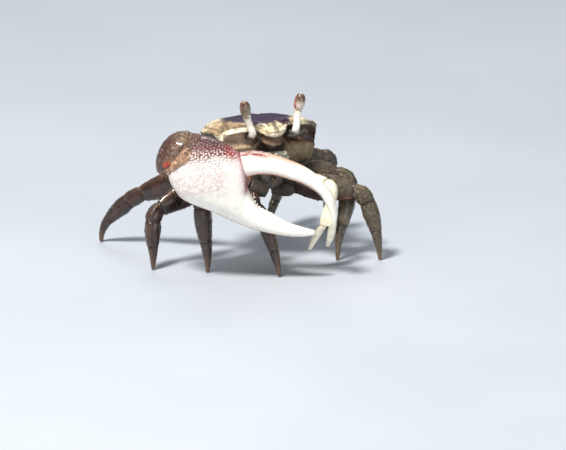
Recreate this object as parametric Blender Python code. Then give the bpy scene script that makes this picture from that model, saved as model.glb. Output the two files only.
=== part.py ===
"""Male sand fiddler crab, a still life-size model standing with its great claw held across the front.

The crab faces -Y and its right side, with the great claw, is -X. Lengths are written in millimetres
and MM turns them into metres. The floor is z = 0 and the middle of the footprint is x = y = 0.
"""

import math
import random

import bmesh
import bpy
from mathutils import Matrix, Vector

MM = 0.001

# Driving sizes of the body
SHELL_HEIGHT = 24.5        # floor to the level that the shell's profiles are measured from
SHELL_MIDDLE = 6.0         # behind the line of the eyestalks
NOSE_UP = 6.0              # degrees that the body is pitched
RIGHT_UP = 2.0             # degrees that the body is rolled
FOOTPRINT_SHIFT = (1.63, -5.17)   # moves the footprint's middle to the origin
JOINT_GAP = 0.3            # clearance between neighbouring pieces

# Half of the shell's outline seen from above, from the front lobe round to the rear, and its height
SHELL_OUTLINE = [
    (0.0, -1.5), (1.5, -1.2), (2.7, -0.2), (3.5, 0.6), (5.0, 0.45), (7.0, 0.6), (8.8, 1.15),
    (9.85, 1.75), (9.95, 3.4), (9.85, 5.8), (9.4, 8.4), (8.2, 10.9), (5.6, 12.6), (2.6, 13.0), (0.0, 13.0),
]
SHELL_EDGE = [-1.7, -1.5, -0.9, -0.45, -0.4, -0.5, -0.9, -1.8, -1.5, -1.6, -1.9, -2.2, -2.6, -2.8, -2.8]
SHELL_CROWN = 0.35         # height of the middle of the back
SHELL_ARCH = (0.006, 0.012)     # how fast the back falls off to the sides and to the rear
SHELL_SHARES = (0.25, 0.5, 0.7, 0.86, 0.95)     # where the back is drawn between its middle and its edge
SHELL_FULLNESS = 7         # how far out the back stays level before it rolls over to the edge
SHELL_SWELLING = (-7.4, 7.2, 2.4, 3.6, 0.2)    # middle, half lengths and height of the swelling on the claw's side
FRONT_ZONE = (2.2, 3.0)    # places along the outline where the front lobe gives way to the eye socket
SIDE_ZONE = (6.2, 7.2)     # and the eye socket to the side wall

# Walls below the shell's edge: drop and inset under the front lobe, the eye socket and the side
SHELL_WALLS = [
    ((0.7, 0.1), (0.5, 0.1), (0.5, 0.1)),
    ((1.0, 0.9), (0.9, 1.1), (1.0, 0.45)),
    ((1.5, 1.1), (2.4, 1.5), (2.0, 0.75)),
    ((1.9, 1.0), (3.2, 1.0), (2.7, 0.65)),
    ((2.3, 0.6), (3.7, 0.2), (3.2, 0.5)),
    ((2.8, 1.1), (4.4, 0.45), (4.1, 0.75)),
    ((3.3, 2.3), (5.2, 0.7), (5.0, 1.0)),
    ((5.2, 2.4), (6.2, 1.1), (5.9, 1.45)),
]
SHELL_FLOOR = (-8.2, 2.4)  # height and inset of the shell's lower rim

# A door of the mouth from the top down: height, front and half width
MOUTH_DOOR = [(-5.25, -0.35, 1.15), (-6.2, -0.45, 1.42), (-8.2, -0.45, 1.45), (-9.9, -0.2, 1.15), (-11.2, 0.4, 0.7)]

MOUTH_DOOR_SET = (0.17, 0.45, 0.4)     # half the seam, how far back a door's middle is, and its half thickness

# Chest below the shell: height, half width, half length
CHEST = [(-8.5, 6.3, 4.7), (-9.8, 6.2, 4.6), (-10.9, 5.7, 4.2), (-11.8, 4.7, 3.7), (-12.3, 3.4, 3.0)]
CHEST_MIDDLE = 6.1

# Roots of the limbs, sunk in the chest: half width and half height of a leg's and of a claw's
LEG_ROOT = (1.15, 1.5)
CLAW_ROOT = (1.25, 1.3)
ROOT_LENGTH = 3.6

# Tail flap folded forward under the chest: its path, half widths and half thickness
TAIL_PATH = [(0.0, 12.1, -9.4), (0.0, 11.6, -10.9), (0.0, 10.0, -12.3), (0.0, 7.6, -13.05), (0.0, 4.4, -13.05)]
TAIL_WIDTHS = [2.6, 2.4, 2.0, 1.5, 0.7]
TAIL_THICK = 0.35

# Walking legs, front to rear: hip, length to the knee, length beyond it, then angles in degrees.
# yaw is how far forward the leg points, rise how it climbs to the knee, fold how it comes down,
# lean how far the lower leg slants forward, toe the slope of the last piece and girth its stoutness.
HIPS = [(5.0, 1.2, 12.4), (7.0, 4.0, 13.7), (7.5, 6.8, 13.9), (7.0, 9.6, 13.7)]
LEGS = {
    "leg_right_1": (-1, 0, 5.6, 12.7, 85, -10, -72, 12, -85, 1.0),
    "leg_right_2": (-1, 1, 5.7, 15.3, 28, 2, -95, 4, -85, 1.2),
    "leg_right_3": (-1, 2, 11.7, 11.2, 1, -17, -88, 4, -86, 1.0),
    "leg_right_4": (-1, 3, 13.6, 13.1, -53, -18, -45, 0, -90, 1.0),
    "leg_left_1": (1, 0, 10.6, 13.8, 38, -2, -75, 1, -85, 1.0),
    "leg_left_2": (1, 1, 7.2, 16.5, 31, 0, -103, 25, -89, 1.0),
    "leg_left_3": (1, 2, 8.2, 16.6, -18, 3, -81, -12, -83, 1.0),
    "leg_left_4": (1, 3, 8.4, 16.6, -49, 2, -120, -14, -98, 1.0),
}
LEG_SHARES = (0.24, 0.4, 0.36)    # carpus, propodus and dactyl as shares of the lower leg
LEG_STEPS = 5                      # parts that each piece bends in
LEG_HEIGHTS = {                    # depth of each piece along its length
    "merus": (2.1, 3.5, 4.6, 4.7, 3.9, 2.9),
    "carpus": (2.6, 2.9, 3.05, 2.85),
    "propodus": (2.8, 3.0, 2.6, 2.1),
    "dactyl": (1.9, 1.5, 1.05, 0.6),
}
LEG_FLATNESS = {"merus": 0.56, "carpus": 0.76, "propodus": 0.76, "dactyl": 0.85}
LEG_BENDS = (7, -7, 6, -3)         # how much the pieces curve, as degrees added along the leg
TOE_RADIUS = 0.32

# The great claw lies in an upright plane turned CLAW_TURN from the crab's cross axis. Places in it
# are (along, height), with along running to the crab's left, and CLAW_REACH is how far it is in front.
CLAW_TURN = 30.0
CLAW_REACH = 11.8
PALM_LOWER = [
    (-18.1, 19.1), (-17.6, 17.3), (-16.2, 15.1), (-14.2, 13.8), (-11.0, 12.5), (-8.4, 11.3), (-6.4, 10.4),
    (-4.8, 9.7), (-2.9, 9.0), (-0.6, 8.4), (2.0, 7.9), (5.0, 7.7), (7.2, 8.0),
]
PALM_UPPER = [
    (-12.8, 25.9), (-11.2, 25.6), (-9.6, 25.1), (-7.7, 24.3), (-6.3, 23.2), (-5.0, 21.2), (-4.5, 18.8),
    (-4.3, 16.7), (-3.0, 14.5), (-0.6, 12.4), (2.2, 10.5), (5.0, 9.45), (7.35, 8.8),
]
PALM_THICK = [2.6, 3.0, 3.3, 3.4, 3.3, 3.0, 2.6, 2.2, 1.9, 1.6, 1.25, 0.85, 0.35]
FINGER_OUTER = [
    (-5.5, 22.8), (-3.2, 23.1), (-0.9, 22.7), (1.9, 21.8), (5.0, 20.55), (7.3, 19.1), (9.2, 17.1),
    (10.6, 15.0), (11.1, 13.3), (11.25, 11.9), (11.2, 10.7), (10.95, 9.7),
]
FINGER_INNER = [
    (-4.25, 18.5), (-3.0, 18.9), (-1.45, 19.0), (0.65, 18.8), (2.9, 18.1), (5.0, 17.4), (6.85, 16.4),
    (8.3, 15.2), (9.15, 13.8), (9.8, 12.5), (10.25, 11.3), (10.55, 9.9),
]
FINGER_THICK = [1.9, 2.0, 2.0, 1.9, 1.75, 1.6, 1.45, 1.3, 1.1, 0.9, 0.65, 0.25]
KNUCKLE_LINE = ((-5.9, 24.6), (-4.35, 17.3))    # where the palm is cut for the moving finger
KNUCKLE_ROOM = 5.0          # depth and half width of the room that the cut makes
TUBERCLE_ROWS = 9           # rows of small knobs over the palm's upper outer face, from its top edge
TUBERCLE_LEVELS = (0.93, 0.16)  # level of the first row, and the drop from one row to the next
TUBERCLE_RUN = (0.35, 0.2, 5.6, 0.28)   # start of a row, stagger, end, and how much sooner each row ends
TUBERCLE_STEP = 1.15        # spacing along a row
TUBERCLE_RADIUS = 0.36
PALM_TEETH = (8.0, 11.4, 7)     # first and last place along the palm's lists, and how many
FINGER_TEETH = (1.9, 9.2, 10)    # the same for the moving finger
TOOTH_RADIUS = 0.42
TOOTH_SINK = 0.45           # how deep a tooth sits in the edge, as a share of its radius
WRIST_MIDDLE = (-16.6, 22.1, 10.0)              # along, height and reach of the wrist
WRIST_HALVES = (4.6, 2.9, 3.6)
WRIST_TILT = 53.6
ARM_START = (-4.4, 15.2, 4.3)
ARM_END = (-15.2, 21.4, 7.2)
ARM_HALVES = ((1.19, 1.36, 1.53, 1.62, 1.53), (1.36, 1.87, 2.21, 2.3, 1.87))    # half widths and half heights

# The small claw hangs on the crab's left: along, height, reach
SMALL_ARM = ((4.6, 15.0, -0.7), (9.3, 14.6, 2.9))
SMALL_ARM_HALVES = ((1.02, 1.1, 1.19, 1.02), (1.1, 1.45, 1.45, 1.19))
SMALL_WRIST_END = (10.15, 11.6, 3.6)
SMALL_WRIST_HALVES = (1.05, 1.3, 1.25, 0.95)
SMALL_PALM_END = (9.7, 7.6, 4.0)
SMALL_FINGER_TIPS = ((6.5, 3.4, 4.6), (9.6, 3.6, 3.4))
SMALL_PALM_HALVES = (0.85, 1.2, 1.42, 1.4)      # half width of the small palm along its length
SMALL_PALM_FLATNESS = 0.6
SMALL_FINGER_HALVES = (0.66, 0.7, 0.58, 0.34)
SMALL_FINGER_SPREAD = (0.74, 0.3)       # how far a finger's root is off the middle, and how much it bows

# Eyestalks: foot in the socket, bend, and the tips of the two sides
STALK_FOOT = (3.95, 1.3, -2.4)
STALK_BEND = (4.35, 0.1, -2.2)
STALK_ELBOW = (0.0, -0.75, 0.75)    # from the bend to where the stalk turns up
STALK_RADII = [0.6, 0.62, 0.66, 0.58, 0.7]
STALK_TIPS = {"right": (-6.3, -1.0, 30.0), "left": (5.3, -1.0, 29.9)}
EYE_LENGTH = 2.9
EYE_RADIUS = 0.98
EYE_PROFILE = ((0.0, 0.72), (0.15, 0.93), (0.4, 1.0), (0.65, 0.95), (0.85, 0.72), (0.96, 0.4))

# Antennae, from the inner corner of each eye socket
ANTENNA_FOOT = (3.05, -0.6, -2.7)
ANTENNA_PATH = ((0.0, 0.0, 0.0), (0.3, -0.9, 0.1), (0.9, -1.7, 0.6), (1.9, -2.2, 1.5))
ANTENNA_RADII = (0.42, 0.36, 0.25, 0.12)


def clear_scene():
    for thing in list(bpy.data.objects):
        bpy.data.objects.remove(thing, do_unlink=True)


def make_collection(name):
    group = bpy.data.collections.new(name)
    bpy.context.scene.collection.children.link(group)
    return group


def make_material(name, colour, roughness):
    material = bpy.data.materials.new(name)
    material.use_nodes = True
    shader = material.node_tree.nodes["Principled BSDF"]
    shader.inputs["Base Color"].default_value = (*colour, 1.0)
    shader.inputs["Roughness"].default_value = roughness
    shader.inputs["Metallic"].default_value = 0.0
    return material


# Curves and profiles

def catmull(values, place):
    """A smooth value through the listed ones, at a place counted in list steps."""
    last = len(values) - 1
    n = min(max(int(math.floor(place)), 0), last - 1)
    f = place - n
    picked = [Vector(values[min(max(n + k, 0), last)]) for k in (-1, 0, 1, 2)]
    a, b, c, d = picked
    return 0.5 * (2 * b + (c - a) * f + (2 * a - 5 * b + 4 * c - d) * f * f
                  + (3 * b - a - 3 * c + d) * f ** 3)


def profile(values, share):
    """A smooth single number along a list, at a share from 0 to 1."""
    return catmull([(v, 0.0) for v in values], share * (len(values) - 1))[0]


def ramp(value, low, high):
    t = min(max((value - low) / (high - low), 0.0), 1.0)
    return t * t * (3 - 2 * t)


def oval(middle, across, upward, power=0.85, count=12):
    """A ring of points round a middle, a little squarer than an ellipse."""
    ring = []
    for k in range(count):
        angle = 2 * math.pi * k / count
        c, s = math.cos(angle), math.sin(angle)
        ring.append(middle + across * math.copysign(abs(c) ** power, c)
                    + upward * math.copysign(abs(s) ** power, s))
    return ring


# Frames of the body and the claw

def body_to_world(point):
    """From the shell's own level frame to the pitched and rolled body."""
    turn = Matrix.Rotation(math.radians(-NOSE_UP), 4, "X") @ Matrix.Rotation(math.radians(RIGHT_UP), 4, "Y")
    x, y, z = point
    placed = turn @ Vector((x, y - SHELL_MIDDLE, z))
    return placed + Vector((0.0, SHELL_MIDDLE, SHELL_HEIGHT))


def claw_to_world(along, height, reach=CLAW_REACH):
    c, s = math.cos(math.radians(CLAW_TURN)), math.sin(math.radians(CLAW_TURN))
    return Vector((along * c - reach * s, -along * s - reach * c, height))


def claw_axes():
    return claw_to_world(1, 0, 0), claw_to_world(0, 0, 1), Vector((0, 0, 1))


# Meshes

def add_mesh(name, mesh_data, material, group):
    mesh = bpy.data.meshes.new(name)
    mesh_data.to_mesh(mesh)
    mesh_data.free()
    mesh.materials.append(material)
    mesh.shade_smooth()
    mesh.set_sharp_from_angle(angle=math.radians(40))
    node = bpy.data.objects.new(name, mesh)
    group.objects.link(node)
    return node


def loft(rings, crown=0.0):
    """A closed form through rings of equal count, with each end closed by a fan."""
    shape = bmesh.new()
    shift = Vector((FOOTPRINT_SHIFT[0], FOOTPRINT_SHIFT[1], 0.0))
    rows = [[shape.verts.new((p + shift) * MM) for p in ring] for ring in rings]
    count = len(rows[0])
    for low, high in zip(rows, rows[1:]):
        for k in range(count):
            n = (k + 1) % count
            shape.faces.new((low[k], low[n], high[n], high[k]))
    for row, inner in ((rows[0], rows[1]), (rows[-1], rows[-2])):
        centre = sum((v.co for v in row), Vector()) / count
        behind = sum((v.co for v in inner), Vector()) / count
        tip = shape.verts.new(centre + (centre - behind).normalized() * crown * MM)
        for k in range(count):
            shape.faces.new((row[k], row[(k + 1) % count], tip))
    bmesh.ops.recalc_face_normals(shape, faces=shape.faces)
    bmesh.ops.triangulate(shape, faces=shape.faces)
    return shape


def cut_flat(shape, point, outward):
    """Removes what lies beyond a plane and closes the cut."""
    shift = Vector((FOOTPRINT_SHIFT[0], FOOTPRINT_SHIFT[1], 0.0))
    geometry = shape.verts[:] + shape.edges[:] + shape.faces[:]
    cut = bmesh.ops.bisect_plane(shape, geom=geometry, plane_co=(point + shift) * MM, plane_no=outward,
                                 clear_outer=True)
    rim = [e for e in cut["geom_cut"] if isinstance(e, bmesh.types.BMEdge)]
    bmesh.ops.contextual_create(shape, geom=rim)
    bmesh.ops.triangulate(shape, faces=shape.faces)
    bmesh.ops.recalc_face_normals(shape, faces=shape.faces)
    return shape


def keep_largest(node):
    """Keeps only the largest closed surface of a node."""
    shape = bmesh.new()
    shape.from_mesh(node.data)
    islands = []
    left = set(shape.verts)
    while left:
        island, edge = set(), [left.pop()]
        while edge:
            vert = edge.pop()
            island.add(vert)
            for link in vert.link_edges:
                other = link.other_vert(vert)
                if other in left:
                    left.discard(other)
                    edge.append(other)
        islands.append(island)
    islands.sort(key=len)
    for island in islands[:-1]:
        bmesh.ops.delete(shape, geom=list(island), context="VERTS")
    bmesh.ops.triangulate(shape, faces=shape.faces)
    shape.to_mesh(node.data)
    shape.free()


def fuse(node, pieces, solver="EXACT"):
    """Joins closed pieces to a node in one union."""
    bin_group = bpy.data.collections.new("fused")
    bpy.context.scene.collection.children.link(bin_group)
    for n, piece in enumerate(pieces):
        mesh = bpy.data.meshes.new("piece")
        piece.to_mesh(mesh)
        piece.free()
        bin_group.objects.link(bpy.data.objects.new(f"piece_{n}", mesh))
    union = node.modifiers.new("union", "BOOLEAN")
    union.operation = "UNION"
    union.operand_type = "COLLECTION"
    union.collection = bin_group
    union.solver = solver
    fused = bpy.data.meshes.new_from_object(node.evaluated_get(bpy.context.evaluated_depsgraph_get()))
    node.modifiers.remove(union)
    node.data = fused
    for piece in list(bin_group.objects):
        bpy.data.objects.remove(piece, do_unlink=True)
    bpy.data.collections.remove(bin_group)
    keep_largest(node)


# Body

def outline_ring(inset, heights):
    """One turn round the shell's outline, set in along its own normal."""
    steps = 2 * (len(SHELL_OUTLINE) - 1)
    ring = []
    for side in (1, -1):
        for k in range(steps):
            place = (k if side == 1 else steps - k) / 2
            here = catmull(SHELL_OUTLINE, place)
            ahead = catmull(SHELL_OUTLINE, min(place + 0.2, steps / 2))
            before = catmull(SHELL_OUTLINE, max(place - 0.2, 0.0))
            along = (ahead - before).normalized()
            if place in (0.0, steps / 2):
                along = Vector((1.0, 0.0)) if place == 0.0 else Vector((-1.0, 0.0))
            inward = Vector((-along.y, along.x))
            spot = here + inward * inset(place)
            ring.append(body_to_world((side * spot.x, spot.y, heights(place))))
    return ring


def zone_mix(place, triple):
    front = 1.0 - ramp(place, *FRONT_ZONE)
    side = ramp(place, *SIDE_ZONE)
    return triple[0] * front + triple[1] * (1.0 - front - side) + triple[2] * side


def edge_height(place):
    return catmull([(v, 0.0) for v in SHELL_EDGE], place)[0]


def shell_height(x, y, place, share):
    """Height of the back at a share of the way from its middle to a place on its edge."""
    rise = 1.0 - share ** SHELL_FULLNESS
    crown = SHELL_CROWN - SHELL_ARCH[0] * x * x - SHELL_ARCH[1] * max(y - SHELL_MIDDLE, 0.0) ** 2
    middle_x, middle_y, half_x, half_y, height = SHELL_SWELLING
    crown += height * math.exp(-((x - middle_x) / half_x) ** 2 - ((y - middle_y) / half_y) ** 2)
    return edge_height(place) * (1 - rise) + crown * rise


def back_rings(shares):
    """Rings over the back, at shares of the way from its middle to its edge."""
    steps = 2 * (len(SHELL_OUTLINE) - 1)
    rings = []
    for share in shares:
        ring = []
        for side in (1, -1):
            for k in range(steps):
                place = (k if side == 1 else steps - k) / 2
                here = catmull(SHELL_OUTLINE, place)
                x, y = side * here.x * share, SHELL_MIDDLE + (here.y - SHELL_MIDDLE) * share
                ring.append(body_to_world((x, y, shell_height(x, y, place, share))))
        rings.append(ring)
    return rings


def wall_rings():
    """Rings from the shell's edge down to its lower rim."""
    rings = [outline_ring(lambda place: 0.0, edge_height)]
    for row in SHELL_WALLS:
        drops, insets = [cell[0] for cell in row], [cell[1] for cell in row]
        rings.append(outline_ring(lambda place, i=insets: zone_mix(place, i),
                                  lambda place, d=drops: edge_height(place) - zone_mix(place, d)))
    rings.append(outline_ring(lambda place: SHELL_FLOOR[1], lambda place: SHELL_FLOOR[0]))
    return rings


def carapace(material, group):
    return add_mesh("carapace", loft(back_rings(SHELL_SHARES) + wall_rings()), material, group)


def chest_rings():
    rings = []
    for height, half_width, half_length in CHEST:
        middle = Vector((0.0, CHEST_MIDDLE, height))
        ring = oval(middle, Vector((half_width, 0, 0)), Vector((0, half_length, 0)), 0.8, 28)
        rings.append([body_to_world(p) for p in ring])
    return rings


def root_rings(end, heading, halves):
    """The root of a limb, sunk in the chest and ending a joint's gap short of the limb."""
    across = heading.cross(Vector((0, 0, 1))).normalized()
    upward = across.cross(heading).normalized()
    rings = []
    for share, size in ((0.0, 0.7), (0.5, 1.0), (0.85, 1.0), (1.0, 0.88)):
        middle = end - heading * (JOINT_GAP + ROOT_LENGTH * (1 - share))
        rings.append(oval(middle, across * halves[0] * size, upward * halves[1] * size, 0.9, 10))
    return rings


def leg_root(settings):
    side, hip, _, _, yaw, rise, *_ = settings
    start = Vector((side * HIPS[hip][0], HIPS[hip][1], HIPS[hip][2]))
    return root_rings(start, leg_headings(side, yaw, rise, 0, 0, 0)[0], LEG_ROOT)


def claw_root(start, end):
    a, b = claw_to_world(*start), claw_to_world(*end)
    return root_rings(a, (b - a).normalized(), CLAW_ROOT)


def chest(material, group):
    node = add_mesh("chest", loft(chest_rings()), material, group)
    roots = [leg_root(settings) for settings in LEGS.values()]
    roots += [claw_root(ARM_START, ARM_END), claw_root(*SMALL_ARM)]
    fuse(node, [loft(rings) for rings in roots])
    shape = bmesh.new()
    shape.from_mesh(node.data)
    rim = body_to_world((0.0, CHEST_MIDDLE, CHEST[0][0]))
    above = body_to_world((0.0, CHEST_MIDDLE, CHEST[0][0] + 1.0))
    cut_flat(shape, rim, (above - rim).normalized())
    shape.to_mesh(node.data)
    shape.free()
    return node


def tail_rings():
    """The male's narrow tail flap."""
    rings = []
    count = 9
    last = len(TAIL_PATH) - 1
    for k in range(count):
        share = k / (count - 1)
        ahead = catmull(TAIL_PATH, min(share + 0.05, 1.0) * last)
        before = catmull(TAIL_PATH, max(share - 0.05, 0.0) * last)
        normal = (ahead - before).normalized().cross(Vector((1, 0, 0)))
        ring = oval(catmull(TAIL_PATH, share * last), Vector((profile(TAIL_WIDTHS, share), 0, 0)),
                    normal * TAIL_THICK, 0.8, 12)
        rings.append([body_to_world(p) for p in ring])
    return rings


def door_rings(side):
    """A door of the mouth: a lozenge plate in front of the mouth frame."""
    seam, back, thick = MOUTH_DOOR_SET
    rings = []
    for height, front, half in MOUTH_DOOR:
        ring = oval(Vector((side * (half + seam), front + back, height)), Vector((half, 0, 0)),
                    Vector((0, thick, 0)), 0.75, 12)
        rings.append([body_to_world(p) for p in ring])
    return rings


def tube_rings(path, radii, count, step, points, last_way=None):
    """Round rings along a smooth path."""
    last = len(path) - 1
    rings = []
    for k in range(count):
        share = k / (count - 1)
        along = (catmull(path, min(share + step, 1) * last) - catmull(path, max(share - step, 0) * last)).normalized()
        if last_way and k == count - 1:
            along = last_way
        across = along.cross(Vector((0, 0.6, 0.8))).normalized()
        upward = across.cross(along).normalized()
        size = profile(radii, share)
        rings.append(oval(catmull(path, share * last), across * size, upward * size, 1.0, points))
    return rings


def eye_rings(word):
    """Rings of a side's eyestalk and of the eye on its end."""
    side = -1 if word == "right" else 1
    foot = body_to_world((side * STALK_FOOT[0], STALK_FOOT[1], STALK_FOOT[2]))
    bend = body_to_world((side * STALK_BEND[0], STALK_BEND[1], STALK_BEND[2]))
    tip = Vector(STALK_TIPS[word])
    rise = (tip - bend).normalized()
    elbow = bend + Vector(STALK_ELBOW)
    neck = tip - rise * (EYE_LENGTH + JOINT_GAP)
    stalk = tube_rings([foot, bend, elbow, elbow.lerp(neck, 0.5), neck], STALK_RADII, 11, 0.03, 12, rise)
    across = rise.cross(Vector((0, 1, 0))).normalized()
    upward = across.cross(rise).normalized()
    eye = []
    for share, size in EYE_PROFILE:
        middle = tip - rise * EYE_LENGTH * (1 - share)
        eye.append(oval(middle, across * EYE_RADIUS * size, upward * EYE_RADIUS * size, 1.0, 12))
    return stalk, eye


def antenna_rings(side):
    foot = body_to_world((side * ANTENNA_FOOT[0], ANTENNA_FOOT[1], ANTENNA_FOOT[2]))
    path = [foot + Vector((side * x, y, z)) for x, y, z in ANTENNA_PATH]
    return tube_rings(path, ANTENNA_RADII, 8, 0.05, 8)


def head(side, word, materials, group):
    """What a side of the front carries: a mouth door, an eye on its stalk and an antenna."""
    add_mesh(f"mouth_door_{word}", loft(door_rings(side)), materials["under"], group)
    stalk, eye = eye_rings(word)
    add_mesh(f"eyestalk_{word}", loft(stalk), materials["stalk"], group)
    add_mesh(f"eye_{word}", loft(eye, crown=0.1), materials["eye"], group)
    add_mesh(f"antenna_{word}", loft(antenna_rings(side)), materials["under"], group)


# Legs

def leg_headings(side, yaw, rise, fold, lean, toe):
    """Directions at the hip, the knee, the end of the carpus, the end of the propodus and the toe."""
    turn = math.radians(yaw)
    out = Vector((side * math.cos(turn), -math.sin(turn), 0.0))
    forward = Vector((-side * math.sin(turn), -math.cos(turn), 0.0))

    def heading(pitch, tilt):
        p, t = math.radians(pitch), math.radians(tilt)
        return (out * math.cos(p) + Vector((0, 0, math.sin(p)))) * math.cos(t) + forward * math.sin(t)
    hip, knee, shin, ankle = LEG_BENDS
    return [heading(rise + hip, 0), heading(rise + knee, 0), heading(fold + shin, lean), heading(fold + ankle, lean),
            heading(toe, lean * 0.6)]


def walk_leg(side, hip, merus, shin, headings, steps):
    """Stations along the whole leg: for each piece its points and directions."""
    at = Vector((side * HIPS[hip][0], HIPS[hip][1], HIPS[hip][2]))
    lengths = [merus] + [shin * share for share in LEG_SHARES]
    pieces = []
    for n, length in enumerate(lengths):
        start, end = headings[n], headings[n + 1]
        stations = [(at.copy(), start.normalized())]
        for k in range(steps):
            at = at + start.lerp(end, (k + 0.5) / steps).normalized() * (length / steps)
            stations.append((at.copy(), start.lerp(end, (k + 1) / steps).normalized()))
        pieces.append(stations)
    return pieces


def grounded_leg(settings, steps):
    """The leg with its merus raised or lowered until the toe meets the floor."""
    side, hip, merus, shin, yaw, rise, fold, lean, toe, _ = settings
    low, high = rise - 15.0, rise + 15.0
    for _ in range(30):
        middle = (low + high) / 2
        pieces = walk_leg(side, hip, merus, shin, leg_headings(side, yaw, middle, fold, lean, toe), steps)
        if pieces[-1][-1][0].z > 0.0:
            high = middle
        else:
            low = middle
    return pieces, leg_headings(side, yaw, 0, 0, 90, 0)[2]


def leg_rings(settings):
    """Rings of a leg's four pieces, by kind."""
    pieces, hinge = grounded_leg(settings, LEG_STEPS)
    found = {}
    for piece, (kind, heights) in zip(pieces, LEG_HEIGHTS.items()):
        rings = []
        total = sum((b[0] - a[0]).length for a, b in zip(piece, piece[1:]))
        trim = JOINT_GAP / 2 / total
        for k in range(LEG_STEPS + 1):
            share = k / LEG_STEPS
            placed = min(max(share, trim), 1 - trim) * LEG_STEPS
            n = min(int(placed), LEG_STEPS - 1)
            here = piece[n][0].lerp(piece[n + 1][0], placed - n)
            along = piece[k][1]
            across = (hinge - along * hinge.dot(along)).normalized()
            upward = across.cross(along).normalized()
            half = profile(heights, share) / 2 * settings[-1]
            ring = oval(here, across * half * LEG_FLATNESS[kind], upward * half, 0.9, 10)
            if kind == "dactyl" and k == LEG_STEPS:
                ring = [Vector((p.x, p.y, 0.0)) for p in
                        oval(here, Vector((TOE_RADIUS, 0, 0)), Vector((0, TOE_RADIUS, 0)), 1.0, 10)]
                ring = align_ring(ring, rings[-1])
            rings.append(ring)
        found[kind] = rings
    return found


def leg(name, settings, materials, group):
    for kind, rings in leg_rings(settings).items():
        add_mesh(f"{name}_{kind}", loft(rings), materials[kind], group)


def align_ring(ring, other):
    """Turns and flips a ring so that its points follow those of its neighbour."""
    count = len(ring)
    best, choice = None, ring
    for order in (ring, ring[::-1]):
        for k in range(count):
            turned = order[k:] + order[:k]
            cost = sum((a - b).length for a, b in zip(turned, other))
            if best is None or cost < best:
                best, choice = cost, turned
    return choice


# Great claw

def claw_rings(lower, upper, thick, rings_between, count):
    _, toward, _ = claw_axes()
    total = rings_between * (len(lower) - 1)
    rings = []
    for k in range(total + 1):
        place = k / rings_between
        low = claw_to_world(*catmull(lower, place))
        high = claw_to_world(*catmull(upper, place))
        half = catmull([(v, 0.0) for v in thick], place)[0]
        rings.append(oval((low + high) / 2, toward * half, (high - low) / 2, 0.85, count))
    return rings


def claw_surface(lower, upper, thick, place, level):
    """A point on the claw's outer face and its normal; level runs from -1 at the lower edge to 1."""
    _, toward, _ = claw_axes()
    low, high = claw_to_world(*catmull(lower, place)), claw_to_world(*catmull(upper, place))
    half = catmull([(v, 0.0) for v in thick], place)[0]
    angle = math.asin(math.copysign(abs(level) ** (1 / 0.85), level))
    upward = (high - low) / 2
    spot = (low + high) / 2 + upward * level + toward * half * math.cos(angle) ** 0.85
    normal = toward * math.cos(angle) / half + upward.normalized() * math.sin(angle) / upward.length
    return spot, normal.normalized()


def knob(spot, radius):
    shape = bmesh.new()
    shift = Vector((FOOTPRINT_SHIFT[0], FOOTPRINT_SHIFT[1], 0.0))
    bmesh.ops.create_icosphere(shape, subdivisions=1, radius=radius * MM,
                               matrix=Matrix.Translation((spot + shift) * MM))
    return shape


def knuckle_plane():
    """A point on the palm's flat cut for the moving finger, and the cut's normal along the claw."""
    (top_along, top_height), (low_along, low_height) = KNUCKLE_LINE
    top, low = claw_to_world(top_along, top_height), claw_to_world(low_along, low_height)
    _, toward, _ = claw_axes()
    normal = toward.cross((top - low).normalized()).normalized()
    return top, low, (normal if normal.x > 0 else -normal)


def palm_knobs():
    """Tubercles over the palm's upper outer face, smaller down the face."""
    draw = random.Random(5)
    top, _, knuckle_normal = knuckle_plane()
    first_level, drop = TUBERCLE_LEVELS
    start, stagger, stop, sooner = TUBERCLE_RUN
    knobs = []
    for row in range(TUBERCLE_ROWS):
        level = first_level - drop * row
        place = start + stagger * (row % 2)
        while place < stop - sooner * row:
            spot, normal = claw_surface(PALM_LOWER, PALM_UPPER, PALM_THICK, place, level)
            radius = TUBERCLE_RADIUS * (1.0 - 0.05 * row) * draw.uniform(0.85, 1.15)
            if (top - spot).dot(knuckle_normal) > radius + JOINT_GAP:
                knobs.append(knob(spot - normal * radius * 0.35, radius))
            ahead = claw_surface(PALM_LOWER, PALM_UPPER, PALM_THICK, place + 0.1, level)[0]
            place += 0.1 * TUBERCLE_STEP * draw.uniform(0.9, 1.1) / (ahead - spot).length
    return knobs


def edge_teeth(edge, other, settings):
    """Blunt teeth along the edge of a finger that faces the gape."""
    first, last, count = settings
    draw = random.Random(8)
    teeth = []
    for k in range(count):
        place = first + (last - first) * k / (count - 1)
        here, across = claw_to_world(*catmull(edge, place)), claw_to_world(*catmull(other, place))
        inward = (across - here).normalized()
        radius = TOOTH_RADIUS * draw.uniform(0.8, 1.15) * (1.0 - 0.35 * k / count)
        teeth.append(knob(here + inward * radius * TOOTH_SINK, radius))
    return teeth


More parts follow.
